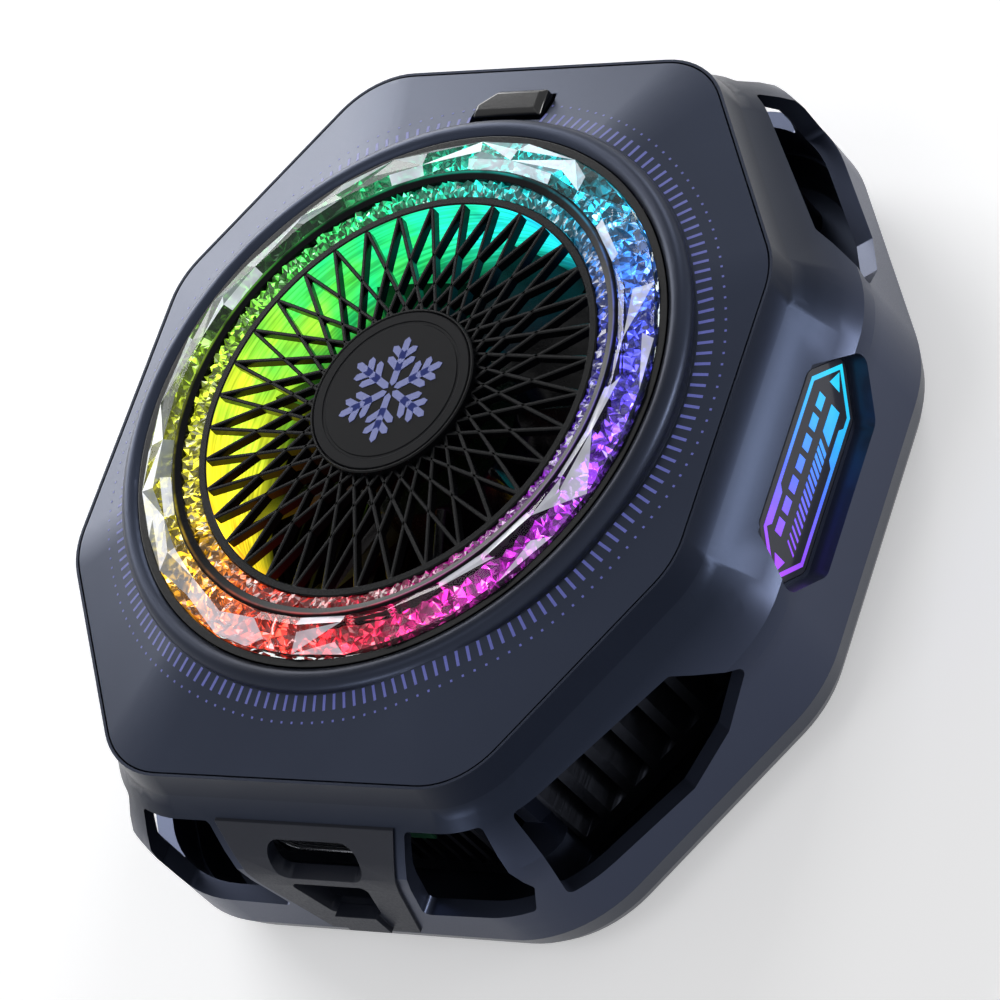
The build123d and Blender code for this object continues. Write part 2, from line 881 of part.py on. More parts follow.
def fin_places():
    """Distances of the fins from the middle."""
    reach = int((sink_half_width - fin_thick) / fin_pitch)
    return [place * fin_pitch for place in range(-reach, reach + 1)]


def heat_sink():
    """Base plate with upright fins, cut round the fan, the bosses and the control board."""
    inside = stack([(sink_low, -sink_inset), (fin_top, -sink_inset)])
    inside &= block((-sink_half_width, sink_half_width), (-half_height, half_height), (sink_low, fin_top))
    base_top = sink_low + sink_base
    base = inside & block((-half_width, half_width), (-half_height, half_height), (sink_low, base_top))
    comb = Sketch() + [Pos(place, 0) * Rectangle(fin_thick, 2 * half_height) for place in fin_places()]
    fins = extrude(Pos(0, 0, base_top) * comb, fin_top - base_top) & inside
    fins -= disc(fan_pocket, frame_low, fin_top + overrun)
    board_room = board_half + board_clearance
    fins -= block((-board_room, board_room), (-half_height, -board_back + board_clearance),
                  (board_low(), fin_top + overrun))
    room_radius = cover_boss_radius + boss_clearance
    room = post(cover_screw_place(), room_radius, sink_low - overrun, fin_top + overrun)
    hole = post(sink_screw_place(), screw_radius, sink_low - overrun, sink_screw_tip)
    return base + fins - four_ways(room) - four_ways(hole)


def module_levels():
    """Heights of the thermoelectric module's layers, from the cold plate up."""
    low = plate_high + plate_block
    cold_top = low + ceramic_thick
    hot_low = cold_top + pellet_high
    return low, cold_top, hot_low, hot_low + ceramic_thick


def square(side, low, high):
    """A square plate on the fan axis."""
    return block((-side / 2, side / 2), (-side / 2, side / 2), (low, high))


def peltier_pellets():
    """Grid of semiconductor legs between the two ceramic plates."""
    low, high = module_levels()[1:3]
    reach = module_side / 2 - pellet_margin - pellet_side / 2
    pitch = 2 * reach / (pellet_rows - 1)
    places = [-reach + pitch * step for step in range(pellet_rows)]
    pellet = square(pellet_side, low, high)
    return [Pos(x, y) * pellet for x in places for y in places]


def peltier_seal():
    """Bead that closes the edge between the ceramic plates."""
    low, high = module_levels()[1:3]
    return square(module_side, low, high) - square(module_side - 2 * seal_width, low, high)


def cold_plate():
    """Aluminium plate that touches the phone."""
    body = disc(plate_radius, plate_low, plate_high)
    body += disc(plate_flange, plate_high - plate_flange_thick, plate_high)
    return body + square(module_side, plate_high, plate_high + plate_block)


def sensor_block(grow):
    """The temperature sensor's body, or the room for it."""
    half_wide = sensor_wide / 2 + grow
    half_long = sensor_long / 2 + grow
    sensor_place = module_side / 2 + sensor_margin
    return block((sensor_place - half_wide, sensor_place + half_wide), (-half_long, half_long),
                 (plate_high, plate_high + sensor_high + grow))


def insulation_foam():
    """Foam that keeps the cold plate apart from the heat sink."""
    foam = disc(shield_outer, foam_low, sink_low)
    foam -= square(module_side + 2 * foam_gap, foam_low - overrun, sink_low + overrun)
    return foam - sensor_block(foam_gap)


def rear_cover():
    """Back of the body with its chamfered band, bosses and the opening for the cold plate."""
    outside = stack([(pad_proud, back_grow), (chamfer_high, chamfer_grow),
                     (band_low, band_grow), (parting_height, widest_grow)])
    hollow = stack([(floor_high, chamfer_grow - wall), (band_low, band_grow - wall),
                    (parting_height + overrun, widest_grow - wall)])
    cover = outside - hollow - disc(plate_opening, 0, floor_high + overrun)
    cover -= ring(contact_inner, contact_outer, 0, contact_thick)
    cover -= ring(magnet_ring_inner, magnet_ring_outer, magnet_ring_low, floor_high + overrun)
    for place, top in ((cover_screw_place(), parting_height), (sink_screw_place(), sink_low)):
        cover += four_ways(post(place, cover_boss_radius, floor_high - root, top))
        cover -= four_ways(post(place, screw_head_radius + head_clearance, 0, screw_seat))
        cover -= four_ways(post(place, screw_radius, 0, top + overrun))
    return cover


def contact_pad():
    """Soft ring that rests on the phone."""
    return ring(contact_inner, contact_outer, 0, contact_thick)


def ring_magnets():
    """Arc magnets of the holding ring."""
    magnets = ring(magnet_ring_inner, magnet_ring_outer, magnet_ring_low, magnet_ring_high)
    slit = block((magnet_ring_inner - overrun, magnet_ring_outer + overrun),
                 (-magnet_ring_slit / 2, magnet_ring_slit / 2),
                 (magnet_ring_low - overrun, magnet_ring_high + overrun))
    return magnets - around(slit, magnet_ring_count, 180 / magnet_ring_count)


def magnet_shield():
    """Steel ring behind the magnets."""
    return ring(shield_inner, shield_outer, magnet_ring_high, magnet_ring_high + shield_thick)


def cover_screws():
    """Screws from the rear cover into the body shell."""
    low = screw_seat - screw_head_high
    return four_ways(Pos(*cover_screw_place()) * screw(low, cover_screw_tip))


def sink_screws():
    """Screws from the rear cover into the heat sink."""
    low = screw_seat - screw_head_high
    return four_ways(Pos(*sink_screw_place()) * screw(low, sink_screw_tip))


def board_low():
    """Underside of the control board, which carries the socket."""
    return port_height - socket_high / 2 - main_board_thick


def main_board():
    """Control board behind the port panel, lying on cut-down fins."""
    low = board_low()
    return block((-board_half, board_half), (-board_front, -board_back), (low, low + main_board_thick))


def board_chips():
    """Chips in a row behind the socket."""
    low = board_low() + main_board_thick
    places = [share * board_half for share in board_chip_place_shares]
    row = -board_back - board_chip_margin
    return [Pos(x, row, low) * Box(*board_chip, align=up) for x in places]


def socket_front():
    """Distance of the socket's mouth from the middle."""
    return half_height + outer_grow(port_height) - panel_thick - socket_sink


def socket_outline(inset):
    """Rounded outline of the socket's shell."""
    return rounded_slot(socket_width - 2 * inset, socket_high - 2 * inset)


def usb_socket():
    """Metal shell of the power socket."""
    start = socket_front() - socket_long
    shell = extrude(side_plane(-90).offset(start) * socket_outline(0), socket_long)
    bore = side_plane(-90).offset(start + socket_back_wall) * socket_outline(socket_wall)
    return shell - extrude(bore, socket_long)


def usb_tongue():
    """Contact tongue inside the socket."""
    start = socket_front() - socket_long + socket_back_wall
    tongue = Pos(0, port_height) * Rectangle(tongue_width, tongue_thick)
    return extrude(side_plane(-90).offset(start) * tongue, tongue_long)


def button_low():
    """Underside of the mode button's flange at rest."""
    return cover_low - button_rest_gap - button_flange_thick


def button_board_top():
    """Upper face of the button board."""
    return button_low() - button_travel - plunger_high - switch_high


def mode_button():
    """Bevelled cap with a flange under the face plate."""
    top = cover_top(button_y) + button_proud
    low = button_low()
    cap = extrude(Pos(0, 0, low) * button_outline(0), top - button_bevel - low)
    crown = loft([(Pos(0, 0, top - button_bevel) * button_outline(0)).face(),
                  (Pos(0, 0, top) * button_outline(-button_bevel)).face()], ruled=True)
    flange = extrude(Pos(0, 0, low) * button_outline(button_flange), button_flange_thick)
    return cap + crown + flange


def button_switch():
    """Push switch with its plunger."""
    low = button_board_top()
    plunger_low = low + switch_high
    body = Pos(0, button_y, low) * Box(switch_long, switch_wide, switch_high, align=up)
    return body + post((0, button_y), plunger_radius, plunger_low, plunger_low + plunger_high)


def button_board():
    """Small board under the mode button."""
    low = button_board_top() - button_board_thick
    return Pos(0, button_y, low) * Box(button_board_long, button_board_wide, button_board_thick, align=up)


def window_lens():
    """Dark lens of a side window."""
    return window_prism(0, window_face - lens_thick, window_face)


def window_guide():
    """Light guide behind the lens."""
    back = window_face - lens_thick
    return window_prism(-guide_ledge - lens_gap, back - guide_thick, back)


def window_board():
    """Board behind the light guide."""
    return window_prism(window_seat_margin, window_back - window_board_thick, window_back)


def window_leds():
    """Lights on the window board."""
    size = (window_led_high, window_led_size, window_led_size)
    near = (Align.MIN, Align.CENTER, Align.CENTER)
    places = [share * window_half_length() for share in window_led_place_shares]
    return [Pos(window_back, y, window_height) * Box(*size, align=near) for y in places]


def sides(make):
    """A right and a left copy of a side window's piece."""
    right = make()
    if isinstance(right, list):
        return right, [mirror(part, Plane.YZ) for part in right]
    return right, mirror(right, Plane.YZ)


def gather(piece):
    """One shape from a piece or from a list of separate pieces."""
    if isinstance(piece, list):
        return Compound(children=[solid for part in piece for solid in part.solids()])
    return piece


low_level, cold_top, hot_low, hot_top = module_levels()
pieces = {
    "front_cover": front_cover(),
    "body_shell": body_shell(),
    "rear_cover": rear_cover(),
    "port_panel": port_panel(),
    "trim_ring": trim_ring(),
    "crystal_ring": crystal_ring(),
    "glow_ring": glow_ring(),
    "ring_leds": ring_leds(),
    "ring_board": ring_board(),
    "ring_carrier": ring_carrier(),
    "inner_bezel_ring": inner_bezel_ring(),
    "ice_ring": ice_ring(),
    "fan_grille": fan_grille(),
    "hub_badge": hub_badge(),
    "light_duct": light_duct(),
    "fan_frame": fan_frame(),
    "fan_screws": fan_screws(),
    "thrust_washer": thrust_washer(),
    "bearing_sleeve": bearing_sleeve(),
    "fan_board": fan_board(),
    "stator_core": stator_core(),
    "stator_coils": stator_coils(),
    "rotor_magnet": rotor_magnet(),
    "rotor_yoke": rotor_yoke(),
    "fan_shaft": fan_shaft(),
    "impeller": impeller(),
    "heat_sink": heat_sink(),
    "thermal_pad": square(module_side, hot_top, sink_low),
    "peltier_hot_plate": square(module_side, hot_low, hot_top),
    "peltier_pellets": peltier_pellets(),
    "peltier_seal": peltier_seal(),
    "peltier_cold_plate": square(module_side, low_level, cold_top),
    "cold_plate": cold_plate(),
    "insulation_foam": insulation_foam(),
    "temperature_sensor": sensor_block(0),
    "contact_pad": contact_pad(),
    "ring_magnets": ring_magnets(),
    "magnet_shield": magnet_shield(),
    "cover_screws": cover_screws(),
    "sink_screws": sink_screws(),
    "main_board": main_board(),
    "board_chips": board_chips(),
    "usb_socket": usb_socket(),
    "usb_tongue": usb_tongue(),
    "mode_button": mode_button(),
    "button_switch": button_switch(),
    "button_board": button_board(),
}
window_pieces = {"lens": window_lens, "guide": window_guide, "board": window_board, "leds": window_leds}
for name, make in window_pieces.items():
    pieces[f"right_window_{name}"], pieces[f"left_window_{name}"] = sides(make)

os.makedirs("parts", exist_ok=True)
for name, piece in pieces.items():
    export_step(gather(piece), f"parts/{name}.step")
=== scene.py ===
"""A phone cooling fan with a lit crystal ring, dressed for its picture.

Everything is in metres and in the part's own frame. The origin is the middle of the face that
touches the phone, Z is the fan's axis, and the mode button is on the +Y side.
"""

import logging
import math
import random
from collections.abc import Iterable
from dataclasses import dataclass, field
from enum import Enum
from functools import reduce

import bmesh
import bpy
from mathutils import Matrix, Vector


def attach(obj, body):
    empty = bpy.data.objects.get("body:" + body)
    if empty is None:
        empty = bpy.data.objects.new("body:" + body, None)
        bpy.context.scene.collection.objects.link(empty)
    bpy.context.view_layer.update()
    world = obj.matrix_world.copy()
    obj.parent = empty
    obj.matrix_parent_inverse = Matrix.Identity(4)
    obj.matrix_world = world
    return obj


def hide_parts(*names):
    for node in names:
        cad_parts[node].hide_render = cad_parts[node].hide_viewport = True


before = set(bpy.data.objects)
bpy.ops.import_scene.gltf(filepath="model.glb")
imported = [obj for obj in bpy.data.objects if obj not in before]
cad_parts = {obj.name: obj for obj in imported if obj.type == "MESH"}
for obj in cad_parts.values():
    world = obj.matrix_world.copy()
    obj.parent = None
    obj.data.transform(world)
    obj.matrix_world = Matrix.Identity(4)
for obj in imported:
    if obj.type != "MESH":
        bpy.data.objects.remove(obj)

LOG = logging.getLogger("cooling_fan")
MM = 0.001
Mesh = bmesh.types.BMesh
Vertex = bmesh.types.BMVert
Object = bpy.types.Object
Material = bpy.types.Material
Node = bpy.types.Node
Socket = bpy.types.NodeSocket
Colour = tuple[float, float, float, float]
Triple = tuple[float, float, float]
Point = tuple[float, float]
Levels = tuple[Point, ...]
Stops = tuple[tuple[float, str], ...]
Values = dict[int | str, object]

# The body of each piece but those in MOVING
USUAL_BODY = "housing"

# Where most of a noise's values lie
MIDDLE: Point = (0.3, 0.7)

# How large the clouds are in which the lights' colours wander
DRIFT_CLOUD = 4 * MM

WHITE: Colour = (1.0, 1.0, 1.0, 1.0)

# The lights' colour at each angle, in degrees from +X
RAINBOW: Stops = (
    (0, "#5a46e8"), (18, "#4a5cff"), (36, "#3f8cf8"), (52, "#25c4ee"), (75, "#1fe0e0"),
    (98, "#22dfb0"), (122, "#25dc78"), (142, "#4ee04e"), (162, "#9be83c"), (184, "#dcec34"),
    (212, "#f7e22a"), (230, "#ffb020"), (242, "#ff7a1c"), (252, "#ff4526"), (272, "#ff2c30"),
    (286, "#ff2a58"), (298, "#f52aa4"), (316, "#e22fe0"), (332, "#c236f2"), (348, "#8340f0"),
)


def tone(code: str) -> Colour:
    """Gives the linear colour of a six-digit hex code.

    Args:
        code: the colour as it is seen, such as "#8090a0".

    Returns:
        The red, green, blue and alpha that a shader socket takes.
    """
    parts = [int(code[start:start + 2], 16) / 255 for start in (1, 3, 5)]
    linear = [part / 12.92 if part <= 0.04045 else ((part + 0.055) / 1.055) ** 2.4 for part in parts]
    return (*linear, 1.0)


class Brush(Enum):
    """How a metal surface was worked."""

    CAST = "cast"
    LENGTHWISE = "lengthwise"
    ROUND = "round"


class Facet(Enum):
    """Each kind of facet of the clear ring, by the name of its finish: clear, milky and frosted plastic, and
    bright and painted-dark facets that carry painted reflections.
    """

    CLEAR = "crystal"
    MILKY = "milky"
    FROSTED = "frosted"
    BRIGHT = "bright"
    SMOKY = "smoky"


@dataclass(frozen=True)
class Patches:
    """Light in cloudy patches: their size, the least light, their layers and where they fade."""

    size: float
    least: float
    detail: float = 2.0
    fade: Point = MIDDLE


class NodeTree:
    """A node tree, built up one node at a time."""

    def __init__(self, tree: bpy.types.NodeTree) -> None:
        """Takes the tree to build up."""
        self.tree = tree

    def fill(self, node: Node, values: Values) -> Node:
        """Links or sets a node's inputs.

        Args:
            node: the node.
            values: another node's output or a plain value for each input, by name or number.

        Returns:
            The same node.
        """
        for name, value in values.items():
            if isinstance(value, Socket):
                self.tree.links.new(value, node.inputs[name])
            else:
                node.inputs[name].default_value = value
        return node

    def node(self, kind: str, links: Values | None = None, **settings: object) -> Node:
        """Adds a node.

        Args:
            kind: the node's type.
            links: what its inputs are filled with.
            **settings: its properties and their values.

        Returns:
            The new node.
        """
        made = self.tree.nodes.new(kind)
        for name, value in settings.items():
            setattr(made, name, value)
        return self.fill(made, links or {})

    def math(self, operation: str, first: object, second: object = 0.0) -> Socket:
        """Works out one number from one or two others."""
        return self.node("ShaderNodeMath", {0: first, 1: second}, operation=operation).outputs[0]

    def product(self, *values: object) -> Socket:
        """Multiplies two or more numbers."""
        return reduce(lambda total, value: self.math("MULTIPLY", total, value), values)

    def vector(self, east: object = 0.0, north: object = 0.0, up: object = 0.0) -> Socket:
        """Joins three numbers to one vector."""
        return self.node("ShaderNodeCombineXYZ", {0: east, 1: north, 2: up}).outputs[0]

    def split(self, vector: Socket) -> tuple[Socket, ...]:
        """Splits a vector into its three numbers."""
        return tuple(self.node("ShaderNodeSeparateXYZ", {0: vector}).outputs)

    def angle(self, where: Socket) -> Socket:
        """Gives a place's angle round Z, in radians from +X."""
        east, north, _ = self.split(where)
        return self.math("ARCTAN2", north, east)


class Recipe(NodeTree):
    """A material's node tree."""

    def __init__(self, name: str) -> None:
        """Starts a material with the standard shader and the object's own coordinates.

        Args:
            name: the material's name.
        """
        self.material = bpy.data.materials.new(name)
        self.material.use_nodes = True
        super().__init__(self.material.node_tree)
        self.shader = self.tree.nodes["Principled BSDF"]
        self.where = self.node("ShaderNodeTexCoord").outputs["Object"]

    def surface(self, values: Values) -> Material:
        """Fills the shader's inputs and gives the finished material."""
        self.fill(self.shader, values)
        return self.material

    def stretched(self, scale: Triple) -> Socket:
        """Gives the object's coordinates, scaled along X, Y and Z."""
        return self.node("ShaderNodeMapping", {"Vector": self.where, "Scale": scale}).outputs["Vector"]

    def noise(self, size: float, detail: float = 2.0, where: Socket | None = None) -> Socket:
        """Adds noise in clouds of a size, with a number of finer layers, from 0 to 1."""
        links = {"Vector": where or self.where, "Scale": 1 / size, "Detail": detail}
        return self.node("ShaderNodeTexNoise", links).outputs["Fac"]

    def cells(self, size: float) -> Node:
        """Adds a pattern of irregular cells of one size."""
        return self.node("ShaderNodeTexVoronoi", {"Vector": self.where, "Scale": 1 / size})

    def span(self, value: object, target: Point, source: Point = MIDDLE) -> Socket:
        """Maps numbers between the source's two to the target's two, which also limit them."""
        links = dict(enumerate((value, *source, *target)))
        return self.node("ShaderNodeMapRange", links).outputs["Result"]

    def patchy(self, patches: Patches) -> Socket:
        """Gives light in cloudy patches, up to 1."""
        cloud = self.noise(patches.size, patches.detail)
        return self.span(cloud, (patches.least, 1.0), patches.fade)

    def ramp(self, value: object, stops: list[tuple[float, Colour]]) -> Socket:
        """Turns a number into a colour.

        Args:
            value: the output to read, from 0 to 1.
            stops: each stop's place and colour.

        Returns:
            The colour.
        """
        made = self.node("ShaderNodeValToRGB", {"Fac": value})
        bar = made.color_ramp.elements
        bar[0].position, bar[0].color = stops[0]
        bar[1].position, bar[1].color = stops[-1]
        for position, colour in stops[1:-1]:
            bar.new(position).color = colour
        return made.outputs["Color"]

    def mix(self, share: object, first: object, second: object) -> Socket:
        """Mixes two colours, by how much of the second there is."""
        # The node's inputs 6 and 7 and its output 2 are colours
        return self.node("ShaderNodeMix", {0: share, 6: first, 7: second}, data_type="RGBA").outputs[2]

    def mottled(self, cloud: Socket, first: str, second: str) -> Socket:
        """Mixes the colours of two hex codes by a cloudy noise."""
        return self.mix(cloud, tone(first), tone(second))

    def scaled(self, colour: object, level: object) -> Socket:
        """Makes a colour brighter or darker by a factor."""
        return self.node("ShaderNodeVectorMath", {0: colour, "Scale": level}, operation="SCALE").outputs[0]

    def bump(self, height: Socket, depth: float, strength: float = 0.5) -> Socket:
        """Turns a height into a normal with bumps of a depth, shown by a strength."""
        links = {"Height": height, "Distance": depth, "Strength": strength}
        return self.node("ShaderNodeBump", links).outputs["Normal"]

    def height(self) -> Socket:
        """Gives the height above the phone's back."""
        return self.split(self.where)[2]

    def turn(self) -> Socket:
        """Gives the place round the fan's axis, from 0 to 1 in one turn from +X."""
        share = self.math("DIVIDE", self.angle(self.where), math.tau)
        return self.math("FRACT", self.math("ADD", share, 1.0))

    def reach(self) -> Socket:
        """Gives the distance from the fan's axis in metres."""
        east, north, _ = self.split(self.where)
        return self.math("SQRT", self.math("ADD", self.product(east, east), self.product(north, north)))

    def rainbow(self, drift: float = 0.0) -> Socket:
        """Gives the light ring's colour, which changes round the fan's axis.

        Args:
            drift: how far the colours wander from their place, as a share of a turn.

        Returns:
            The colour.
        """
        stops = [(angle / 360, tone(code)) for angle, code in RAINBOW]
        wander = self.product(self.math("SUBTRACT", self.noise(DRIFT_CLOUD, 1.0), 0.5), drift)
        turn = self.math("FRACT", self.math("ADD", self.math("ADD", self.turn(), wander), 1.0))
        return self.ramp(turn, stops + [(1.0, stops[0][1])])

    def levels(self, levels: Levels) -> Socket:
        """Gives a brightness from its levels at angles in degrees round the fan's axis."""
        stops = [(angle / 360, (level, level, level, 1.0)) for angle, level in levels]
        return self.ramp(self.turn(), stops)


@dataclass(frozen=True)
class Moulded:
    """Plastic, rubber or foam from a mould, with a fine texture and a soft change of shade."""

    name: str
    colour: str
    shade: str
    roughness: float = 0.45
    spread: float = 0.08
    grain: float = 0.22 * MM
    depth: float = 0.01 * MM
    mottle: float = 9 * MM
    metallic: float = 0.0
    coat: float = 0.0
    coat_roughness: float = 0.12
    gloss: float = 0.4

    def make(self) -> Material:
        """Makes the material.

        Returns:
            The material.
        """
        recipe = Recipe(self.name)
        fine = recipe.noise(self.grain, 3.0)
        return recipe.surface({
            "Base Color": recipe.mottled(recipe.noise(self.mottle, 3.0), self.colour, self.shade),
            "Roughness": recipe.span(fine, (self.roughness - self.spread, self.roughness + self.spread)),
            "Metallic": self.metallic,
            "Coat Weight": self.coat,
            "Coat Roughness": self.coat_roughness,
            "Specular IOR Level": self.gloss,
            "Normal": recipe.bump(fine, self.depth),
        })


@dataclass(frozen=True)
class Lacquer:
    """Dark metallic lacquer with fine flakes.

    It can carry painted shade on the lip round the clear ring, painted shade above a height, and painted
    light at its foot, which makes it lighter there.
    """

    name: str
    colour: str
    shade: str
    roughness: float = 0.34
    metallic: float = 0.65
    gloss: float = 0.1
    # Painted shade on the lip: the radii over which it fades out, its tone, and its strength at angles in
    # degrees round the axis
    lip: Point = (0.0, 0.0)
    lip_shade_tone: str = "#0b0c12"
    lip_shade_levels: Levels = ((0, 0.7), (40, 0.3), (70, 0.0), (215, 0.0), (260, 0.7), (359, 0.7))
    # Painted shade above a height: the height, its tone and its share
    band: float = 0.0
    band_shade_tone: str = "#101522"
    band_shade_share: float = 0.45
    # Painted light at the foot: the lighter tone, and the heights over which it gives way to the lacquer
    foot: str = ""
    fade: Point = (12 * MM, 19 * MM)
    mottle: float = 12 * MM
    flake: float = 0.09 * MM
    spread: float = 0.04
    depth: float = 0.003 * MM
    relief: float = 0.3

    def make(self) -> Material:
        """Makes the material.

        Returns:
            The material.
        """
        recipe = Recipe(self.name)
        flake = recipe.noise(self.flake)
        colour = recipe.mottled(recipe.noise(self.mottle), self.colour, self.shade)
        # Painted shade on the lip, fading outwards and stronger at some angles round the axis
        if self.lip[1]:
            slope = recipe.span(recipe.reach(), (1.0, 0.0), self.lip)
            share = recipe.product(recipe.levels(self.lip_shade_levels), slope)
            colour = recipe.mix(share, colour, tone(self.lip_shade_tone))
        # Painted light: lighter towards the foot
        if self.foot:
            share = recipe.span(recipe.height(), (0.0, 1.0), self.fade)
            colour = recipe.mix(share, tone(self.foot), colour)
        # Painted shade above the band's height
        if self.band:
            share = recipe.product(recipe.math("GREATER_THAN", recipe.height(), self.band), self.band_shade_share)
            colour = recipe.mix(share, colour, tone(self.band_shade_tone))
        return recipe.surface({
            "Base Color": colour,
            "Metallic": self.metallic,
            "Roughness": recipe.span(flake, (self.roughness - self.spread, self.roughness + self.spread)),
            "Specular IOR Level": self.gloss,
            "Normal": recipe.bump(flake, self.depth, self.relief),
        })


@dataclass(frozen=True)
class Metal:
    """Bare or plated metal, with the marks of how it was worked."""

    name: str
    colour: str
    shade: str
    roughness: float = 0.3
    brush: Brush = Brush.CAST
    size: float = 0.12 * MM
    wear: float = 4 * MM
    smoother: float = 0.08
    rougher: float = 0.1
    stretch: Triple = (1.0, 0.03, 1.0)
    depth: float = 0.004 * MM

    def make(self) -> Material:
        """Makes the material.

        Returns:
            The material.
        """
        recipe = Recipe(self.name)
        where = None
        if self.brush is Brush.ROUND:
            where = recipe.vector(recipe.reach())
        elif self.brush is Brush.LENGTHWISE:
            where = recipe.stretched(self.stretch)
        marks = recipe.noise(self.size, 3.0, where)
        return recipe.surface({
            "Base Color": recipe.mottled(recipe.noise(self.wear, 3.0), self.colour, self.shade),
            "Metallic": 1.0,
            "Roughness": recipe.span(marks, (self.roughness - self.smoother, self.roughness + self.rougher)),
            "Normal": recipe.bump(marks, self.depth),
        })


@dataclass(frozen=True)
class Laminate:
    """A circuit board's resist, with traces under it and small pads."""

    name: str
    colour: str
    trace: str
    pad: str = "#c8a860"
    pitch: float = 0.9 * MM
    brick_share: float = 0.3
    pad_pitches: float = 2.5
    pad_share: float = 0.16
    mortar: float = 0.06
    depth: float = 0.02 * MM

    def make(self) -> Material:
        """Makes the material.

        Returns:
            The material.
        """
        recipe = Recipe(self.name)
        links = {"Vector": recipe.where, "Scale": self.brick_share / self.pitch, "Mortar Size": self.mortar}
        brick = recipe.node("ShaderNodeTexBrick", links, offset=0.5).outputs["Fac"]
        distance = recipe.cells(self.pad_pitches * self.pitch).outputs["Distance"]
        lines = recipe.mottled(brick, self.colour, self.trace)
        pads = recipe.math("LESS_THAN", distance, self.pad_share)
        return recipe.surface({
            "Base Color": recipe.mix(pads, lines, tone(self.pad)),
            "Roughness": 0.35,
            "Coat Weight": 0.3,
            "Normal": recipe.bump(brick, self.depth),
        })


@dataclass(frozen=True)
class Clear:
    """Clear or milky moulded plastic, which can give off painted light in cloudy patches."""

    name: str
    colour: str
    shade: str = "#ffffff"
    roughness: float = 0.02
    spread: float = 0.03
    through: float = 1.0
    index: float = 1.22
    # Painted light given off in cloudy patches: its strength, its tone and its patches
    painted_light: float = 0.0
    painted_light_tone: str = "#e8eeff"
    patches: Patches = Patches(2.6 * MM, 0.45, 1.0, (0.35, 0.65))
    ripple: float = 1.6 * MM
    depth: float = 0.01 * MM
    relief: float = 0.2

    def make(self) -> Material:
        """Makes the material.

        Returns:
            The material.
        """
        recipe = Recipe(self.name)
        ripple = recipe.noise(self.ripple)
        return recipe.surface({
            "Base Color": recipe.mottled(ripple, self.colour, self.shade),
            "Roughness": recipe.span(ripple, (self.roughness, self.roughness + self.spread)),
            "Transmission Weight": self.through,
            "IOR": self.index,
            # Painted light in cloudy patches
            "Emission Color": recipe.scaled(tone(self.painted_light_tone)[:3], recipe.patchy(self.patches)),
            "Emission Strength": self.painted_light,
            "Normal": recipe.bump(ripple, self.depth, self.relief),
        })


@dataclass(frozen=True)
class Crackle:
    """Crumpled clear plastic lit from below, in the colours of the rainbow."""

    name: str
    strength: float
    levels: Levels
    flake: float = 0.5 * MM
    sparkle: float = 0.55
    sparkle_from: Point = (0.55, 0.95)
    contrast: float = 1.5
    gain: float = 2.8
    least: float = 0.03
    unlit: float = 0.08
    depth: float = 0.08 * MM
    relief: float = 0.6

    def make(self) -> Material:
        """Makes the material.

        Returns:
            The material.
        """
        recipe = Recipe(self.name)
        glint = recipe.node("ShaderNodeAttribute", attribute_name="glint").outputs["Fac"]
        flake = recipe.cells(self.flake)
        parts = recipe.node("ShaderNodeSeparateColor", {0: flake.outputs["Color"]}).outputs
        lit = recipe.math("POWER", recipe.product(glint, parts[0]), self.contrast)
        level = recipe.product(lit, self.gain, recipe.levels(self.levels))
        white = recipe.span(recipe.product(glint, parts[1]), (0.0, self.sparkle), self.sparkle_from)
        hue = recipe.mix(white, recipe.rainbow(), WHITE)
        return recipe.surface({
            "Base Color": recipe.scaled(hue, self.unlit),
            "Roughness": 0.22,
            "Emission Color": recipe.scaled(hue, recipe.math("ADD", level, self.least)),
            "Emission Strength": self.strength,
            "Normal": recipe.bump(flake.outputs["Distance"], self.depth, self.relief),
        })


@dataclass(frozen=True)
class DuctGlow:
    """The fan duct's wall, with the ring's light running down it in fine lines."""

    name: str
    strength: float
    levels: Levels
    low: float
    high: float
    drift: float = 0.16
    line: float = 0.35 * MM
    stretch: Triple = (0.04, 0.04, 1.0)
    line_levels: Point = (0.5, 1.0)
    line_fade: Point = (0.38, 0.64)
    patches: Patches = Patches(5 * MM, 0.6, fade=(0.35, 0.65))
    depth: float = 0.05 * MM

    def make(self) -> Material:
        """Makes the material.

        Returns:
            The material.
        """
        recipe = Recipe(self.name)
        lines = recipe.noise(self.line, 3.0, recipe.stretched(self.stretch))
        streak = recipe.span(lines, self.line_levels, self.line_fade)
        rise = recipe.span(recipe.height(), (0.0, 1.0), (self.low, self.high))
        level = recipe.product(streak, rise, recipe.patchy(self.patches), recipe.levels(self.levels))
        return recipe.surface({
            "Base Color": tone("#15171c"),
            "Roughness": 0.2,
            "Emission Color": recipe.scaled(recipe.rainbow(self.drift), level),
            "Emission Strength": self.strength,
            "Normal": recipe.bump(lines, self.depth),
        })


@dataclass(frozen=True)
class RimGlow:
    """Glossy black trim whose edge catches the ring's light in one thin line."""

    name: str
    middle: float
    width: float
    strength: float
    patches: Patches = Patches(3 * MM, 0.15, 3.0, (0.4, 0.6))
    roughness: Point = (0.24, 0.32)

    def make(self) -> Material:
        """Makes the material.

        Returns:
            The material.
        """
        recipe = Recipe(self.name)
        off = recipe.math("ABSOLUTE", recipe.math("SUBTRACT", recipe.reach(), self.middle))
        line = recipe.span(off, (1.0, 0.0), (0.0, self.width))
        patch = recipe.patchy(self.patches)
        return recipe.surface({
            "Base Color": tone("#0b0c10"),
            "Roughness": recipe.span(patch, self.roughness, (0.0, 1.0)),
            "Specular IOR Level": 0.06,
            "Emission Color": recipe.scaled(recipe.rainbow(), recipe.product(line, patch)),
            "Emission Strength": self.strength,
        })


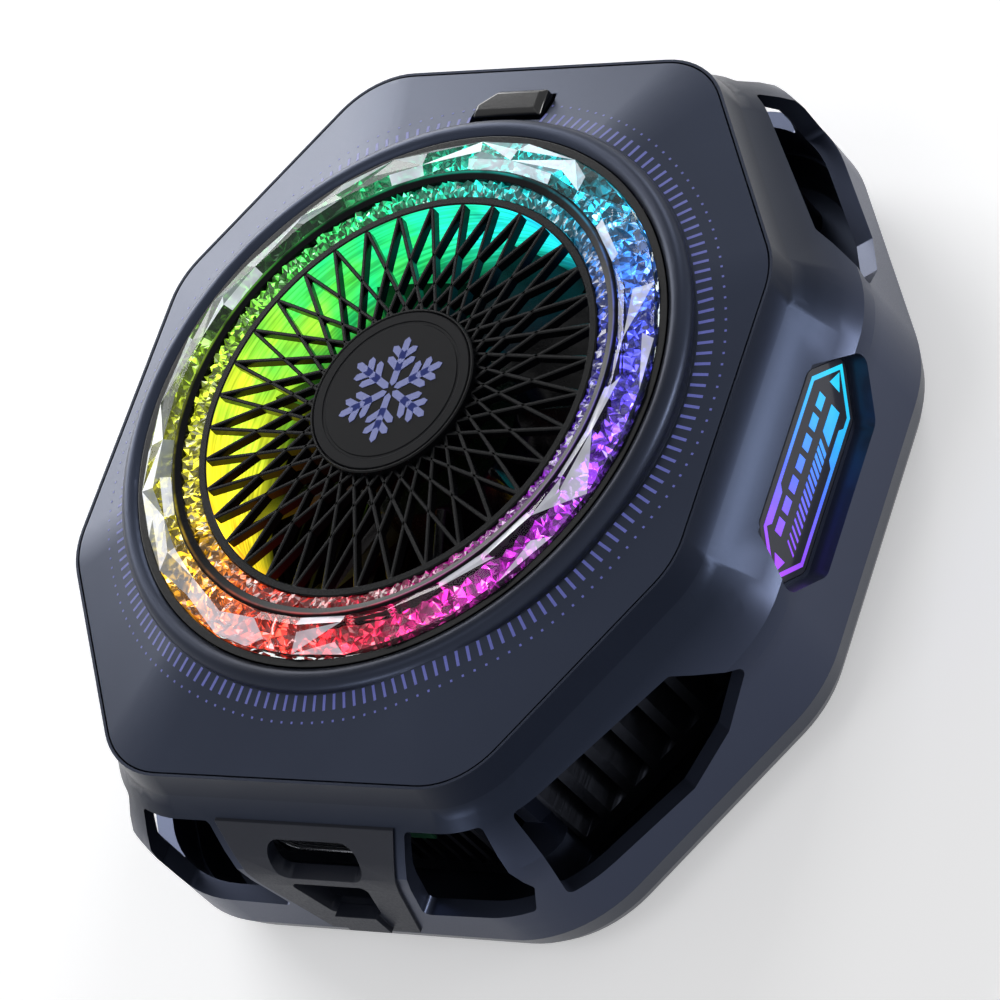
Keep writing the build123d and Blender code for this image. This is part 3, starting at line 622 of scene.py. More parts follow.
@dataclass(frozen=True)
class WindowGlow:
    """The marks in a side window, lit from cyan at one end to violet at the other."""

    name: str
    half_long: float
    strength: float
    patches: Patches = Patches(1.2 * MM, 0.85)
    unlit: float = 0.3
    stops: Stops = (
        (0.0, "#b238f0"), (0.2, "#8a4af5"), (0.45, "#4f6cf8"), (0.7, "#2ca4f2"), (1.0, "#1fd2ea"),
    )

    def make(self) -> Material:
        """Makes the material.

        Returns:
            The material.
        """
        recipe = Recipe(self.name)
        north = recipe.split(recipe.where)[1]
        along = recipe.span(north, (0.0, 1.0), (-self.half_long, self.half_long))
        hue = recipe.ramp(along, [(share, tone(code)) for share, code in self.stops])
        return recipe.surface({
            "Base Color": recipe.scaled(hue, self.unlit),
            "Roughness": 0.3,
            "Emission Color": recipe.scaled(hue, recipe.patchy(self.patches)),
            "Emission Strength": self.strength,
        })


@dataclass(frozen=True)
class Ink:
    """Marks that shine faintly through the face plate."""

    name: str
    colour: str
    levels: Levels
    strength: float
    patches: Patches = Patches(0.4 * MM, 0.8)
    unlit: float = 0.6

    def make(self) -> Material:
        """Makes the material.

        Returns:
            The material.
        """
        recipe = Recipe(self.name)
        level = recipe.product(recipe.patchy(self.patches), recipe.levels(self.levels))
        hue = tone(self.colour)[:3]
        return recipe.surface({
            "Base Color": recipe.scaled(hue, self.unlit),
            "Roughness": 0.5,
            "Emission Color": recipe.scaled(hue, level),
            "Emission Strength": self.strength,
        })


Finish = Moulded | Lacquer | Metal | Laminate | Clear | Crackle | DuctGlow | RimGlow | WindowGlow | Ink


def shown(name: str, data: bpy.types.ID) -> Object:
    """Puts an object in the scene.

    Args:
        name: the object's name.
        data: its mesh, lamp or camera.

    Returns:
        The new object.
    """
    made = bpy.data.objects.new(name, data)
    bpy.context.scene.collection.objects.link(made)
    return made


def piece(name: str, mesh: Mesh, finishes: Iterable[Material]) -> Object:
    """Turns a mesh under construction into an object at the origin.

    Args:
        name: the object's name.
        mesh: the mesh, which is freed.
        finishes: its materials, in the order of their numbers.

    Returns:
        The new object.
    """
    data = bpy.data.meshes.new(name)
    mesh.to_mesh(data)
    mesh.free()
    for finish in finishes:
        data.materials.append(finish)
    return shown(name, data)


def smooth(target: Object, corner: float = 28.0) -> None:
    """Shades an object smoothly, apart from edges past an angle in degrees."""
    target.data.polygons.foreach_set("use_smooth", [True] * len(target.data.polygons))
    target.data.set_sharp_from_angle(angle=math.radians(corner))


def place(target: Object, slot: str, *nodes: str, body: str = USUAL_BODY) -> Object:
    """Says what a finished piece rides on and what it stands for.

    Args:
        target: the piece.
        slot: the record's material slot; not used.
        *nodes: the plain pieces that it takes the place of.
        body: the body it moves with.

    Returns:
        The same piece.
    """
    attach(target, body)
    if nodes:
        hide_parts(*nodes)
    return target


def spot(radius: float, angle: float, height: float) -> Triple:
    """A place from a radius and a height in millimetres, and an angle in radians."""
    return (radius * MM * math.cos(angle), radius * MM * math.sin(angle), height * MM)


def pairs(items: Iterable) -> list[tuple]:
    """Each item with the one after it, and the last with the first."""
    row = list(items)
    return list(zip(row, row[1:] + row[:1]))


def lathe(profile: tuple[Point, ...], mesh: Mesh | None = None, steps: int = 180) -> Mesh:
    """Turns a closed profile round the fan's axis.

    Args:
        profile: (radius, height) corners in millimetres, anticlockwise seen with the axis at the left.
        mesh: the mesh to add the closed form to, or None for a new one.
        steps: how many steps one turn has.

    Returns:
        The mesh.
    """
    mesh = mesh or bmesh.new()
    rings = [[mesh.verts.new(spot(radius, math.tau * step / steps, height)) for radius, height in profile]
             for step in range(steps)]
    for here, after in pairs(rings):
        for (low, low_after), (high, high_after) in pairs(zip(here, after)):
            mesh.faces.new((low, low_after, high_after, high))
    bmesh.ops.remove_doubles(mesh, verts=mesh.verts, dist=0.001 * MM)
    bmesh.ops.recalc_face_normals(mesh, faces=mesh.faces)
    return mesh


def flat_shape(mesh: Mesh, points: list[Vector], push: Vector) -> None:
    """Adds a plate or a bar with straight sides.

    Args:
        mesh: the mesh to add it to.
        points: the corners of its back, in metres.
        push: the way from the back to the front.
    """
    back = [mesh.verts.new(point) for point in points]
    front = [mesh.verts.new(point + push) for point in points]
    mesh.faces.new(front)
    mesh.faces.new(back[::-1])
    for (low, high), (low_after, high_after) in pairs(zip(back, front)):
        mesh.faces.new((low, low_after, high_after, high))


@dataclass
class EasedPiece:
    """A plain piece's own shape with eased edges and smooth curves, in metres and degrees."""

    node: str
    slot: str
    finish: Material
    width: float
    segments: int
    body: str
    crisp: float
    corner: float = 30.0
    flat: float = 0.3
    weld: float = 0.0005 * MM

    def mesh(self) -> Mesh:
        """Copies the piece's mesh, joins its triangles and bevels its sharp edges.

        Returns:
            The mesh, kept within the plain piece's box.
        """
        mesh = bmesh.new()
        mesh.from_mesh(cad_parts[self.node].data)
        bmesh.ops.remove_doubles(mesh, verts=mesh.verts, dist=self.weld)
        flat = math.radians(self.flat)
        bmesh.ops.dissolve_limit(mesh, angle_limit=flat, verts=mesh.verts, edges=mesh.edges)
        box = [(min(side), max(side)) for side in zip(*(corner.co for corner in mesh.verts))]
        if self.width:
            limit = math.radians(self.corner)
            sharp = [edge for edge in mesh.edges if edge.is_manifold and edge.calc_face_angle(0.0) > limit]
            bmesh.ops.bevel(mesh, geom=sharp, offset=self.width, offset_type="OFFSET", affect="EDGES",
                            segments=self.segments, profile=0.5, clamp_overlap=True)
        for corner in mesh.verts:
            corner.co = [min(max(value, low), high) for value, (low, high) in zip(corner.co, box)]
        return mesh

    def build(self) -> Object:
        """Makes the eased piece.

        Returns:
            The piece, which takes the plain one's place.
        """
        made = piece(f"{self.node}_eased", self.mesh(), [self.finish])
        smooth(made, self.crisp)
        made.modifiers.new("even", "WEIGHTED_NORMAL").keep_sharp = True
        return place(made, self.slot, self.node, body=self.body)


@dataclass
class CrystalRing:
    """The clear ring, cut into large facets of uneven height, in millimetres and degrees."""

    finishes: dict[Facet, Material]
    sectors: int = 16
    inner: float = 22.33
    outer: float = 25.58
    low: float = 25.62
    edge: float = 27.3
    ridge_radius: float = 23.2
    ridge: float = 28.08
    inner_edge: float = 27.7
    inner_apex: float = 23.9
    outer_apex: float = 24.6
    lift: float = 0.3
    least_lift: float = 0.05
    wobble: float = 2.0
    apex_wobble: float = 3.0
    upright: float = 0.2
    seed: int = 11
    drops: dict[str, float] = field(default_factory=lambda: {"ridge": 0.15, "inner_edge": 0.15, "edge": 0.55})
    near_side: tuple[Point, ...] = ((0.0, 50.0), (238.0, 360.0))
    near_kinds: tuple[Facet, ...] = (Facet.CLEAR, Facet.CLEAR, Facet.CLEAR, Facet.MILKY)
    # Stretches in degrees where bright facets with a painted reflection come more often
    pale_side: tuple[Point, ...] = ((64.0, 98.0), (188.0, 238.0))
    pale_kinds: tuple[Facet, ...] = (Facet.BRIGHT, Facet.CLEAR, Facet.BRIGHT, Facet.FROSTED)
    # Far-side kinds, with bright and painted-dark facets that carry painted reflections
    far_kinds: tuple[Facet, ...] = (
        Facet.CLEAR, Facet.BRIGHT, Facet.SMOKY, Facet.SMOKY, Facet.FROSTED, Facet.SMOKY, Facet.CLEAR,
    )
    dice: random.Random = field(init=False)

    def __post_init__(self) -> None:
        """Seeds the ring's own dice."""
        self.dice = random.Random(self.seed)

    def corner(self, mesh: Mesh, radius: float, angle: float, height: float) -> Vertex:
        """Adds one corner at an angle in degrees, no higher than the ridge."""
        return mesh.verts.new(spot(radius, math.radians(angle), min(height, self.ridge)))

    def slope(self, radius: float) -> float:
        """Height of the ring's outer slope at a radius."""
        share = (self.outer - radius) / (self.outer - self.ridge_radius)
        return self.edge + share * (self.ridge - self.edge)

    def rings(self, mesh: Mesh) -> dict[str, list[Vertex]]:
        """Adds the corners along the ring's edges, two to a sector.

        Args:
            mesh: the mesh to add them to.

        Returns:
            The corners of each edge.
        """
        step = 180 / self.sectors
        angles = [step * turn + self.dice.uniform(-self.wobble, self.wobble)
                  for turn in range(2 * self.sectors)]
        levels = {
            "low_inner": (self.inner, self.low), "low_outer": (self.outer, self.low),
            "edge": (self.outer, self.edge), "ridge": (self.ridge_radius, self.ridge),
            "inner_edge": (self.inner, self.inner_edge),
        }
        made = {}
        for name, (radius, height) in levels.items():
            drop = self.drops.get(name, 0.0)
            made[name] = [self.corner(mesh, radius, angle, height - self.dice.uniform(0, drop))
                          for angle in angles]
        return made

    def mesh(self) -> Mesh:
        """Joins the ring's corners into facets.

        Returns:
            The closed mesh, with each facet's material.
        """
        mesh = bmesh.new()
        rings = self.rings(mesh)
        edge, ridge = rings["edge"], rings["ridge"]
        count = 2 * self.sectors
        for here in range(count):
            after = (here + 1) % count
            for low, high in (("low_outer", "edge"), ("ridge", "inner_edge"), ("inner_edge", "low_inner"),
                              ("low_inner", "low_outer")):
                mesh.faces.new((rings[low][here], rings[low][after], rings[high][after], rings[high][here]))
        for apex in range(0, count, 2):
            before, beside, after = (apex - 1) % count, apex + 1, (apex + 2) % count
            rise = self.dice.uniform(self.least_lift, self.lift)
            self.fan(mesh, apex, self.inner_apex, rise,
                     [edge[apex], ridge[beside], ridge[apex], ridge[before]])
            dip = self.dice.uniform(-self.lift, self.lift / 2)
            self.fan(mesh, beside, self.outer_apex, dip,
                     [edge[apex], edge[beside], edge[after], ridge[beside]])
        bmesh.ops.recalc_face_normals(mesh, faces=mesh.faces)
        self.paint(mesh)
        return mesh

    def fan(self, mesh: Mesh, turn: int, radius: float, rise: float, around: list[Vertex]) -> None:
        """Adds a middle corner on the slope and the facets between it and those round it.

        Args:
            mesh: the mesh to add them to.
            turn: the corner's place round the ring, in steps of half a sector.
            radius: its distance from the axis.
            rise: its height above the slope.
            around: the corners round it.
        """
        angle = turn * 180 / self.sectors + self.dice.uniform(-self.apex_wobble, self.apex_wobble)
        middle = self.corner(mesh, radius, angle, self.slope(radius) + rise)
        for here, after in pairs(around):
            mesh.faces.new((middle, here, after))

    def kinds(self, angle: float) -> tuple[Facet, ...]:
        """Finds the kinds of facet at an angle.

        Args:
            angle: the angle in degrees.

        Returns:
            The kinds to choose from.
        """
        for stretches, kinds in ((self.near_side, self.near_kinds), (self.pale_side, self.pale_kinds)):
            if any(low <= angle <= high for low, high in stretches):
                return kinds
        return self.far_kinds

    def paint(self, mesh: Mesh) -> None:
        """Gives each top facet a kind for its side of the ring, and gives the outer wall the painted-dark
        finish as painted shade.

        Args:
            mesh: the ring's mesh.
        """
        order = list(self.finishes)
        for face in mesh.faces:
            middle = face.calc_center_median()
            if face.normal.z >= self.upright:
                angle = math.degrees(math.atan2(middle.y, middle.x)) % 360
                face.material_index = order.index(self.dice.choice(self.kinds(angle)))
            # The outer wall gets the painted-dark finish as painted shade
            elif middle.xy.length > self.outer_apex * MM:
                face.material_index = order.index(Facet.SMOKY)

    def build(self) -> Object:
        """Makes the clear ring."""
        made = piece("crystal_ring_cut", self.mesh(), self.finishes.values())
        return place(made, "clear_plastic", "crystal_ring")


@dataclass
class CrumpledRing:
    """A ring of crumpled clear plastic, whose flakes catch the light, in millimetres."""

    name: str
    node: str
    slot: str
    finish: Material
    inner: float
    outer: float
    base: float
    inner_top: float
    outer_top: float
    rough: float
    steps: int = 420
    rows: int = 7
    spikes: float = 0.0
    trough: float = 0.0
    seed: int = 3
    stray: float = 0.4
    stray_round: float = 0.42
    glint_contrast: float = 1.6

    def top(self, row: int) -> float:
        """Finds the height of the ring's top, which may be deepest in the middle.

        Args:
            row: the row, from the inner edge.

        Returns:
            The height.
        """
        share = row / (self.rows - 1)
        rise = self.trough * (2 * share - 1) ** 4
        return self.inner_top + (self.outer_top - self.inner_top) * share + rise

    def section(self, mesh: Mesh, step: int, dice: random.Random) -> list[Vertex]:
        """Adds the corners of one crumpled section.

        Args:
            mesh: the mesh to add them to.
            step: the section's place round the ring.
            dice: the ring's dice.

        Returns:
            The corners, from the inner edge of the top round to that of the base.
        """
        made = []
        last = self.rows - 1
        reach = (self.outer - self.inner) / last
        for row in range(self.rows):
            stray = 0 if row in (0, last) else dice.uniform(-self.stray, self.stray) * reach
            angle = math.tau * (step + dice.uniform(-self.stray_round, self.stray_round)) / self.steps
            height = self.top(row) - dice.random() * self.rough
            if row == last:
                height -= self.spikes * dice.random() ** 2
            made.append(mesh.verts.new(spot(self.inner + reach * row + stray, angle, height)))
        for radius in (self.outer, self.inner):
            made.append(mesh.verts.new(spot(radius, math.tau * step / self.steps, self.base)))
        return made

    def mesh(self) -> Mesh:
        """Makes the ring's crumpled top, with plain sides and a flat base.

        Returns:
            The closed mesh, with a glint for each flake.
        """
        dice = random.Random(self.seed)
        mesh = bmesh.new()
        glint = mesh.faces.layers.float.new("glint")
        sections = [self.section(mesh, step, dice) for step in range(self.steps)]
        for here, after in pairs(sections):
            for (low, low_after), (high, high_after) in pairs(zip(here, after)):
                if dice.random() < 0.5:
                    flakes = ((low, low_after, high_after), (low, high_after, high))
                else:
                    flakes = ((low, low_after, high), (low_after, high_after, high))
                for corners in flakes:
                    mesh.faces.new(corners)[glint] = dice.random() ** self.glint_contrast
        bmesh.ops.recalc_face_normals(mesh, faces=mesh.faces)
        return mesh

    def build(self) -> Object:
        """Makes the crumpled ring."""
        return place(piece(self.name, self.mesh(), [self.finish]), self.slot, self.node)


class NodeShape(NodeTree):
    """A Geometry Nodes tree that copies one thing onto the points of a circle."""

    def __init__(self, name: str, kinds: dict[str, str]) -> None:
        """Starts a tree.

        Args:
            name: the tree's name.
            kinds: each input's name and the kind of its socket.
        """
        super().__init__(bpy.data.node_groups.new(name, "GeometryNodeTree"))
        face = self.tree.interface
        face.new_socket("Geometry", in_out="OUTPUT", socket_type="NodeSocketGeometry")
        inlet = self.tree.nodes.new("NodeGroupInput")
        self.outlet = self.tree.nodes.new("NodeGroupOutput")
        self.identifiers = {}
        for key, kind in kinds.items():
            socket = face.new_socket(key, in_out="INPUT", socket_type=f"NodeSocket{kind}")
            self.identifiers[key] = socket.identifier
        self.inputs = {key: inlet.outputs[key] for key in kinds}
        links = {"Vertices": self.inputs["Count"], "Radius": self.inputs["Radius"]}
        self.circle = self.node("GeometryNodeMeshCircle", links).outputs[0]
        self.where = self.node("GeometryNodeInputPosition").outputs[0]

    def shift(self, operation: str, first: object, second: object) -> Socket:
        """Works out one vector from two others."""
        return self.node("ShaderNodeVectorMath", {0: first, 1: second}, operation=operation).outputs[0]

    def align(self, vector: Socket, axis: str, pivot: str, start: object = (0.0, 0.0, 0.0)) -> Socket:
        """Turns an axis along a vector, from a rotation and about a pivot."""
        return self.node("FunctionNodeAlignRotationToVector", {"Rotation": start, "Vector": vector},
                         axis=axis, pivot_axis=pivot).outputs[0]

    def copies(self, links: Values) -> None:
        """Ends the tree with copies made into real geometry in one material.

        Args:
            links: the points, the thing to copy, its rotation and its scale.
        """
        laid = self.node("GeometryNodeInstanceOnPoints", links).outputs[0]
        real = self.node("GeometryNodeRealizeInstances", {"Geometry": laid}).outputs[0]
        dress = {"Geometry": real, "Material": self.inputs["Material"]}
        self.tree.links.new(self.node("GeometryNodeSetMaterial", dress).outputs[0], self.outlet.inputs[0])

    def run(self, name: str, values: dict[str, object]) -> Object:
        """Makes an object from the tree.

        Args:
            name: the object's name.
            values: each input's value, by its name.

        Returns:
            The object, with a plain mesh and no modifier.
        """
        made = shown(name, bpy.data.meshes.new(name))
        modifier = made.modifiers.new("shape", "NODES")
        modifier.node_group = self.tree
        for key, value in values.items():
            modifier[self.identifiers[key]] = value
        graph = bpy.context.evaluated_depsgraph_get()
        data = bpy.data.meshes.new_from_object(made.evaluated_get(graph))
        made.modifiers.clear()
        made.data = data
        return made


@dataclass
class DialMarks:
    """The fine marks that shine through the face plate round the lip, in metres and degrees."""

    plate: Object
    finish: Material
    count: int = 180
    thick: float = 0.03 * MM
    fade_angle: float = 150.0
    fade_cosines: Point = (0.1, 0.95)
    above: float = 40 * MM
    sizes: dict[str, dict[str, float]] = field(default_factory=lambda: {
        "dial_dashes": {"Radius": 29.15 * MM, "Length": 1.35 * MM, "Width": 0.27 * MM, "Fade": 0.8},
        "dial_dots": {"Radius": 30.75 * MM, "Length": 0.2 * MM, "Width": 0.2 * MM, "Fade": 1.0},
    })

    def tree(self) -> NodeShape:
        """Builds the tree that lays a ring of marks on the face plate.

        Returns:
            The tree.
        """
        shape = NodeShape("ring_of_marks", {
            "Count": "Int", "Radius": "Float", "Length": "Float", "Width": "Float",
            "Thickness": "Float", "Fade": "Float", "Fade angle": "Float", "Above": "Float",
            "Plate": "Object", "Material": "Material",
        })
        given = shape.inputs
        plate = shape.node("GeometryNodeObjectInfo", {"Object": given["Plate"]}, transform_space="RELATIVE")
        start = shape.shift("ADD", shape.where, shape.vector(0.0, 0.0, given["Above"]))
        ray = shape.node("GeometryNodeRaycast", {
            "Target Geometry": plate.outputs["Geometry"], "Source Position": start,
            "Ray Direction": (0, 0, -1), "Ray Length": 1.0,
        }).outputs
        laid = shape.node("GeometryNodeSetPosition",
                          {"Geometry": shape.circle, "Position": ray["Hit Position"]})
        upright = shape.align(ray["Hit Normal"], "Z", "AUTO")
        radial = shape.align(shape.where, "X", "Z", upright)
        turned = shape.math("SUBTRACT", shape.angle(shape.where), given["Fade angle"])
        fade = dict(enumerate((shape.math("COSINE", turned), *self.fade_cosines, 1.0, given["Fade"])))
        shorter = shape.node("ShaderNodeMapRange", fade).outputs[0]
        size = shape.vector(given["Length"], given["Width"], given["Thickness"])
        shape.copies({
            "Points": laid.outputs[0], "Selection": ray["Is Hit"], "Rotation": radial,
            "Instance": shape.node("GeometryNodeMeshCube", {"Size": size}).outputs[0],
            "Scale": shape.vector(shorter, 1.0, 1.0),
        })
        return shape

    def build(self) -> list[Object]:
        """Makes the ring of dashes and the ring of dots.

        Returns:
            The two rings.
        """
        shape = self.tree()
        shared = {"Count": self.count, "Thickness": self.thick, "Plate": self.plate, "Material": self.finish,
                  "Fade angle": math.radians(self.fade_angle), "Above": self.above}
        return [place(shape.run(name, shared | sizes), "glow_plastic")
                for name, sizes in self.sizes.items()]


@dataclass
class Grille:
    """The fan grille: a rim, a hub seat and crossing spokes, in millimetres and degrees."""

    finish: Material
    wall_finish: Material
    bore: float = 19.1
    bore_slack: float = 0.05
    wall_lean: float = 0.1
    count: int = 36
    skew: float = 20.0
    rim_radius: float = 19.5
    seat_radius: float = 7.85
    low: float = 26.0
    top: float = 26.88
    width: float = 0.36
    ease: float = 0.09
    rim: tuple[Point, ...] = (
        (bore, 24.0), (21.2, 24.0), (21.2, 24.6), (19.9, 24.6), (19.9, top), (19.78, 27.0),
        (19.22, 27.0), (bore, top),
    )
    seat: tuple[Point, ...] = (
        (0.0, 24.0), (8.15, 24.0), (8.15, 27.38), (8.05, 27.5), (7.93, 27.5), (seat_radius, 27.4),
        (seat_radius, 27.1), (0.0, 27.1),
    )

    def bar(self) -> Object:
        """Makes one spoke with eased edges.

        Returns:
            The spoke, 1 mm long along X from the origin.
        """
        mesh = bmesh.new()
        half, ease = self.width / 2, self.ease
        outline = [(-half, self.low), (half, self.low), (half, self.top - ease), (half - ease, self.top),
                   (ease - half, self.top), (-half, self.top - ease)]
        flat_shape(mesh, [Vector((0, north, height)) * MM for north, height in outline], Vector((MM, 0, 0)))
        bmesh.ops.recalc_face_normals(mesh, faces=mesh.faces)
        return piece("spoke", mesh, [self.finish])

    def tree(self) -> NodeShape:
        """Builds the tree that lays one set of spokes from the hub to the rim.

        Returns:
            The tree.
        """
        shape = NodeShape("crossed_spokes", {
            "Count": "Int", "Radius": "Float", "Seat radius": "Float", "Skew": "Float", "Spoke": "Object",
            "Material": "Material",
        })
        given = shape.inputs
        spoke = shape.node("GeometryNodeObjectInfo", {"Object": given["Spoke"]}).outputs["Geometry"]
        inward = shape.math("DIVIDE", given["Seat radius"], given["Radius"])
        turned = shape.node("ShaderNodeVectorRotate", {"Vector": shape.where, "Angle": given["Skew"]},
                            rotation_type="Z_AXIS").outputs[0]
        foot = shape.node("ShaderNodeVectorMath", {0: turned, "Scale": inward}, operation="SCALE").outputs[0]
        along = shape.shift("SUBTRACT", foot, shape.where)
        length = shape.node("ShaderNodeVectorMath", {0: along}, operation="LENGTH").outputs["Value"]
        shape.copies({
            "Points": shape.circle, "Instance": spoke, "Rotation": shape.align(along, "X", "Z"),
            "Scale": shape.vector(shape.math("DIVIDE", length, MM), 1.0, 1.0),
        })
        return shape

    def rims(self) -> Object:
        """Makes the rim, whose bore catches the duct's light, and the hub seat.

        Returns:
            Both as one piece.
        """
        mesh = lathe(self.seat, lathe(self.rim))
        for face in mesh.faces:
            off = abs(face.calc_center_median().xy.length - self.bore * MM)
            if off < self.bore_slack * MM and abs(face.normal.z) < self.wall_lean:
                face.material_index = 1
        made = piece("grille_rims", mesh, [self.finish, self.wall_finish])
        smooth(made)
        return place(made, "grille_plastic", "fan_grille")

    def build(self) -> list[Object]:
        """Makes the rim and hub seat, and the spokes.

        Returns:
            The rims and the two sets of spokes.
        """
        made = [self.rims()]
        shape = self.tree()
        spoke = self.bar()
        for name, side in (("spokes_left", 1), ("spokes_right", -1)):
            spokes = shape.run(name, {
                "Count": self.count, "Radius": self.rim_radius * MM,
                "Seat radius": self.seat_radius * MM, "Skew": side * math.radians(self.skew),
                "Spoke": spoke, "Material": self.finish,
            })
            made.append(place(spokes, "grille_plastic"))
        bpy.data.objects.remove(spoke)
        return made


@dataclass
class HubBadge:
    """The disc in the grille's hub, with a six-armed frost star, in millimetres and degrees."""

    finish: Material
    star_finish: Material
    profile: tuple[Point, ...] = (
        (0.0, 27.1), (7.8, 27.1), (7.8, 27.42), (7.72, 27.5), (6.9, 27.5), (6.82, 27.44), (6.62, 27.44),
        (6.54, 27.5), (0.0, 27.5),
    )
    arms: int = 6
    first_arm: float = 30.0
    arm: Point = (0.7, 4.9)
    branches: tuple[Point, ...] = ((2.1, 1.5), (3.3, 1.3))
    branch_way: Point = (0.62, 0.78)
    half_width: float = 0.34
    top: float = 27.5
    thick: float = 0.04

    def stroke(self, mesh: Mesh, start: Vector, end: Vector) -> None:
        """Adds one straight stroke with pointed ends.

        Args:
            mesh: the mesh to add it to.
            start: where it starts, in millimetres.
            end: where it ends.
        """
        tip = (end - start).normalized() * self.half_width
        side = Vector((-tip.y, tip.x))
        outline = [start - tip, start - side, end - side, end + tip, end + side, start + side]
        points = [Vector((corner.x, corner.y, self.top)) * MM for corner in outline]
        flat_shape(mesh, points, Vector((0, 0, self.thick * MM)))

    def star(self) -> Mesh:
        """Makes the frost star's strokes.

        Returns:
            The mesh of all strokes.
        """
        mesh = bmesh.new()
        for arm in range(self.arms):
            turn = Matrix.Rotation(math.radians(360 / self.arms * arm + self.first_arm), 2)
            start, end = self.arm
            self.stroke(mesh, turn @ Vector((start, 0)), turn @ Vector((end, 0)))
            for reach, long in self.branches:
                for side in (-1, 1):
                    tip = Vector((reach + long * self.branch_way[0], side * long * self.branch_way[1]))
                    self.stroke(mesh, turn @ Vector((reach, 0)), turn @ tip)
        return mesh

    def build(self) -> list[Object]:
        """Makes the disc and its star.

        Returns:
            Both pieces.
        """
        disc = piece("hub_disc", lathe(self.profile), [self.finish])
        smooth(disc)
        place(disc, "black_satin", "hub_badge")
        star = piece("frost_star", self.star(), [self.star_finish])
        return [disc, place(star, "glow_plastic")]


@dataclass
class LightWindow:
    """The lit marks behind one side window, in millimetres from the window's middle."""

    side: int
    finish: Material
    face: float = 34.6
    middle: float = 14.0
    long: float = 11.3
    wide: float = 4.0
    straight: float = 7.4
    inset: float = 0.6
    band: float = 0.4
    thick: float = 0.04
    bars: tuple[Triple, ...] = ((-2.9, -6.9, 1.0), (2.0, 5.9, -1.0))
    bar_lean: float = 0.5
    bar_deep: float = 0.55
    tip: float = 9.6
    tip_foot: float = 8.2
    tip_half: float = 0.85
    row: Point = (-1.75, -0.35)
    row_lean: float = 0.7
    block: Point = (3.4, 6.7)
    stripes: int = 15
    stripes_start: float = 2.7
    stripes_long: float = 10.4
    stripe_share: float = 0.66
    thinning_share: float = 0.028
    dashes: int = 7
    dash_start: float = 6.7
    dash_pitch: float = 2.0
    dash_long: float = 1.35
    dash_row: Point = (0.75, 1.75)

    def outline(self, inset: float) -> list[Point]:
        """Works out the window's outline.

        Args:
            inset: how far it is moved inward.

        Returns:
            Its six corners.
        """
        lean = math.hypot(self.long - self.straight, self.wide)
        end = self.long - inset * lean / self.wide
        high = self.wide - inset
        flat = end - (self.long - self.straight) * high / self.wide
        return [(end, 0), (flat, high), (-flat, high), (-end, 0), (-flat, -high), (flat, -high)]

    def slanted(self, start: float, end: float, row: Point, lean: float) -> list[Point]:
        """Corners of a bar from one place to another in a row, with its upper side moved along."""
        return [(start, row[0]), (end, row[0]), (end + lean, row[1]), (start + lean, row[1])]

    def marks(self) -> list[list[Point]]:
        """Works out the frame, the bars, the end triangles, the stripes and the dashes.

        Returns:
            The corners of each mark.
        """
        outer, inner = self.outline(self.inset), self.outline(self.inset + self.band)
        made = [[here, after, inner_after, inner_here]
                for (here, inner_here), (after, inner_after) in pairs(zip(outer, inner))]
        high = self.wide - self.inset - self.band
        for start, end, up in self.bars:
            lean = math.copysign(self.bar_lean, end - start)
            deep = up * (high - self.bar_deep)
            made.append([(start, up * high), (end, up * high), (end - lean, deep), (start + lean, deep)])
        for way in (1, -1):
            foot, half = way * self.tip_foot, way * self.tip_half
            made.append([(way * self.tip, 0.0), (foot, half), (foot, -half)])
        first, last = self.block
        made.append([(first, self.row[0]), (last, self.row[0]), (last, self.row[1]),
                     (first + self.row_lean, self.row[1])])
        pitch = self.stripes_long / self.stripes
        for stripe in range(self.stripes):
            start = self.stripes_start - pitch * stripe
            wide = pitch * (self.stripe_share - self.thinning_share * stripe)
            made.append(self.slanted(start, start - wide, self.row, self.row_lean))
        for dash in range(self.dashes):
            start = self.dash_start - self.dash_pitch * dash
            made.append(self.slanted(start, start - self.dash_long, self.dash_row, 0.0))
        return made

    def build(self) -> Object:
        """Makes the window's lit marks.

        Returns:
            The piece.
        """
        mesh = bmesh.new()
        for corners in self.marks():
            points = [Vector((self.side * self.face, along, self.middle + up)) * MM for along, up in corners]
            flat_shape(mesh, points, Vector((self.side * self.thick * MM, 0, 0)))
        bmesh.ops.recalc_face_normals(mesh, faces=mesh.faces)
        name = "right_window_marks" if self.side > 0 else "left_window_marks"
        return place(piece(name, mesh, [self.finish]), "glow_plastic")


@dataclass(frozen=True)
class Lamp:
    """A soft square lamp that faces the object, in metres and watts.

    Its way is the direction to it from the object, in the camera's own axes.
    """

    name: str
    way: Triple
    far: float
    size: float
    power: float


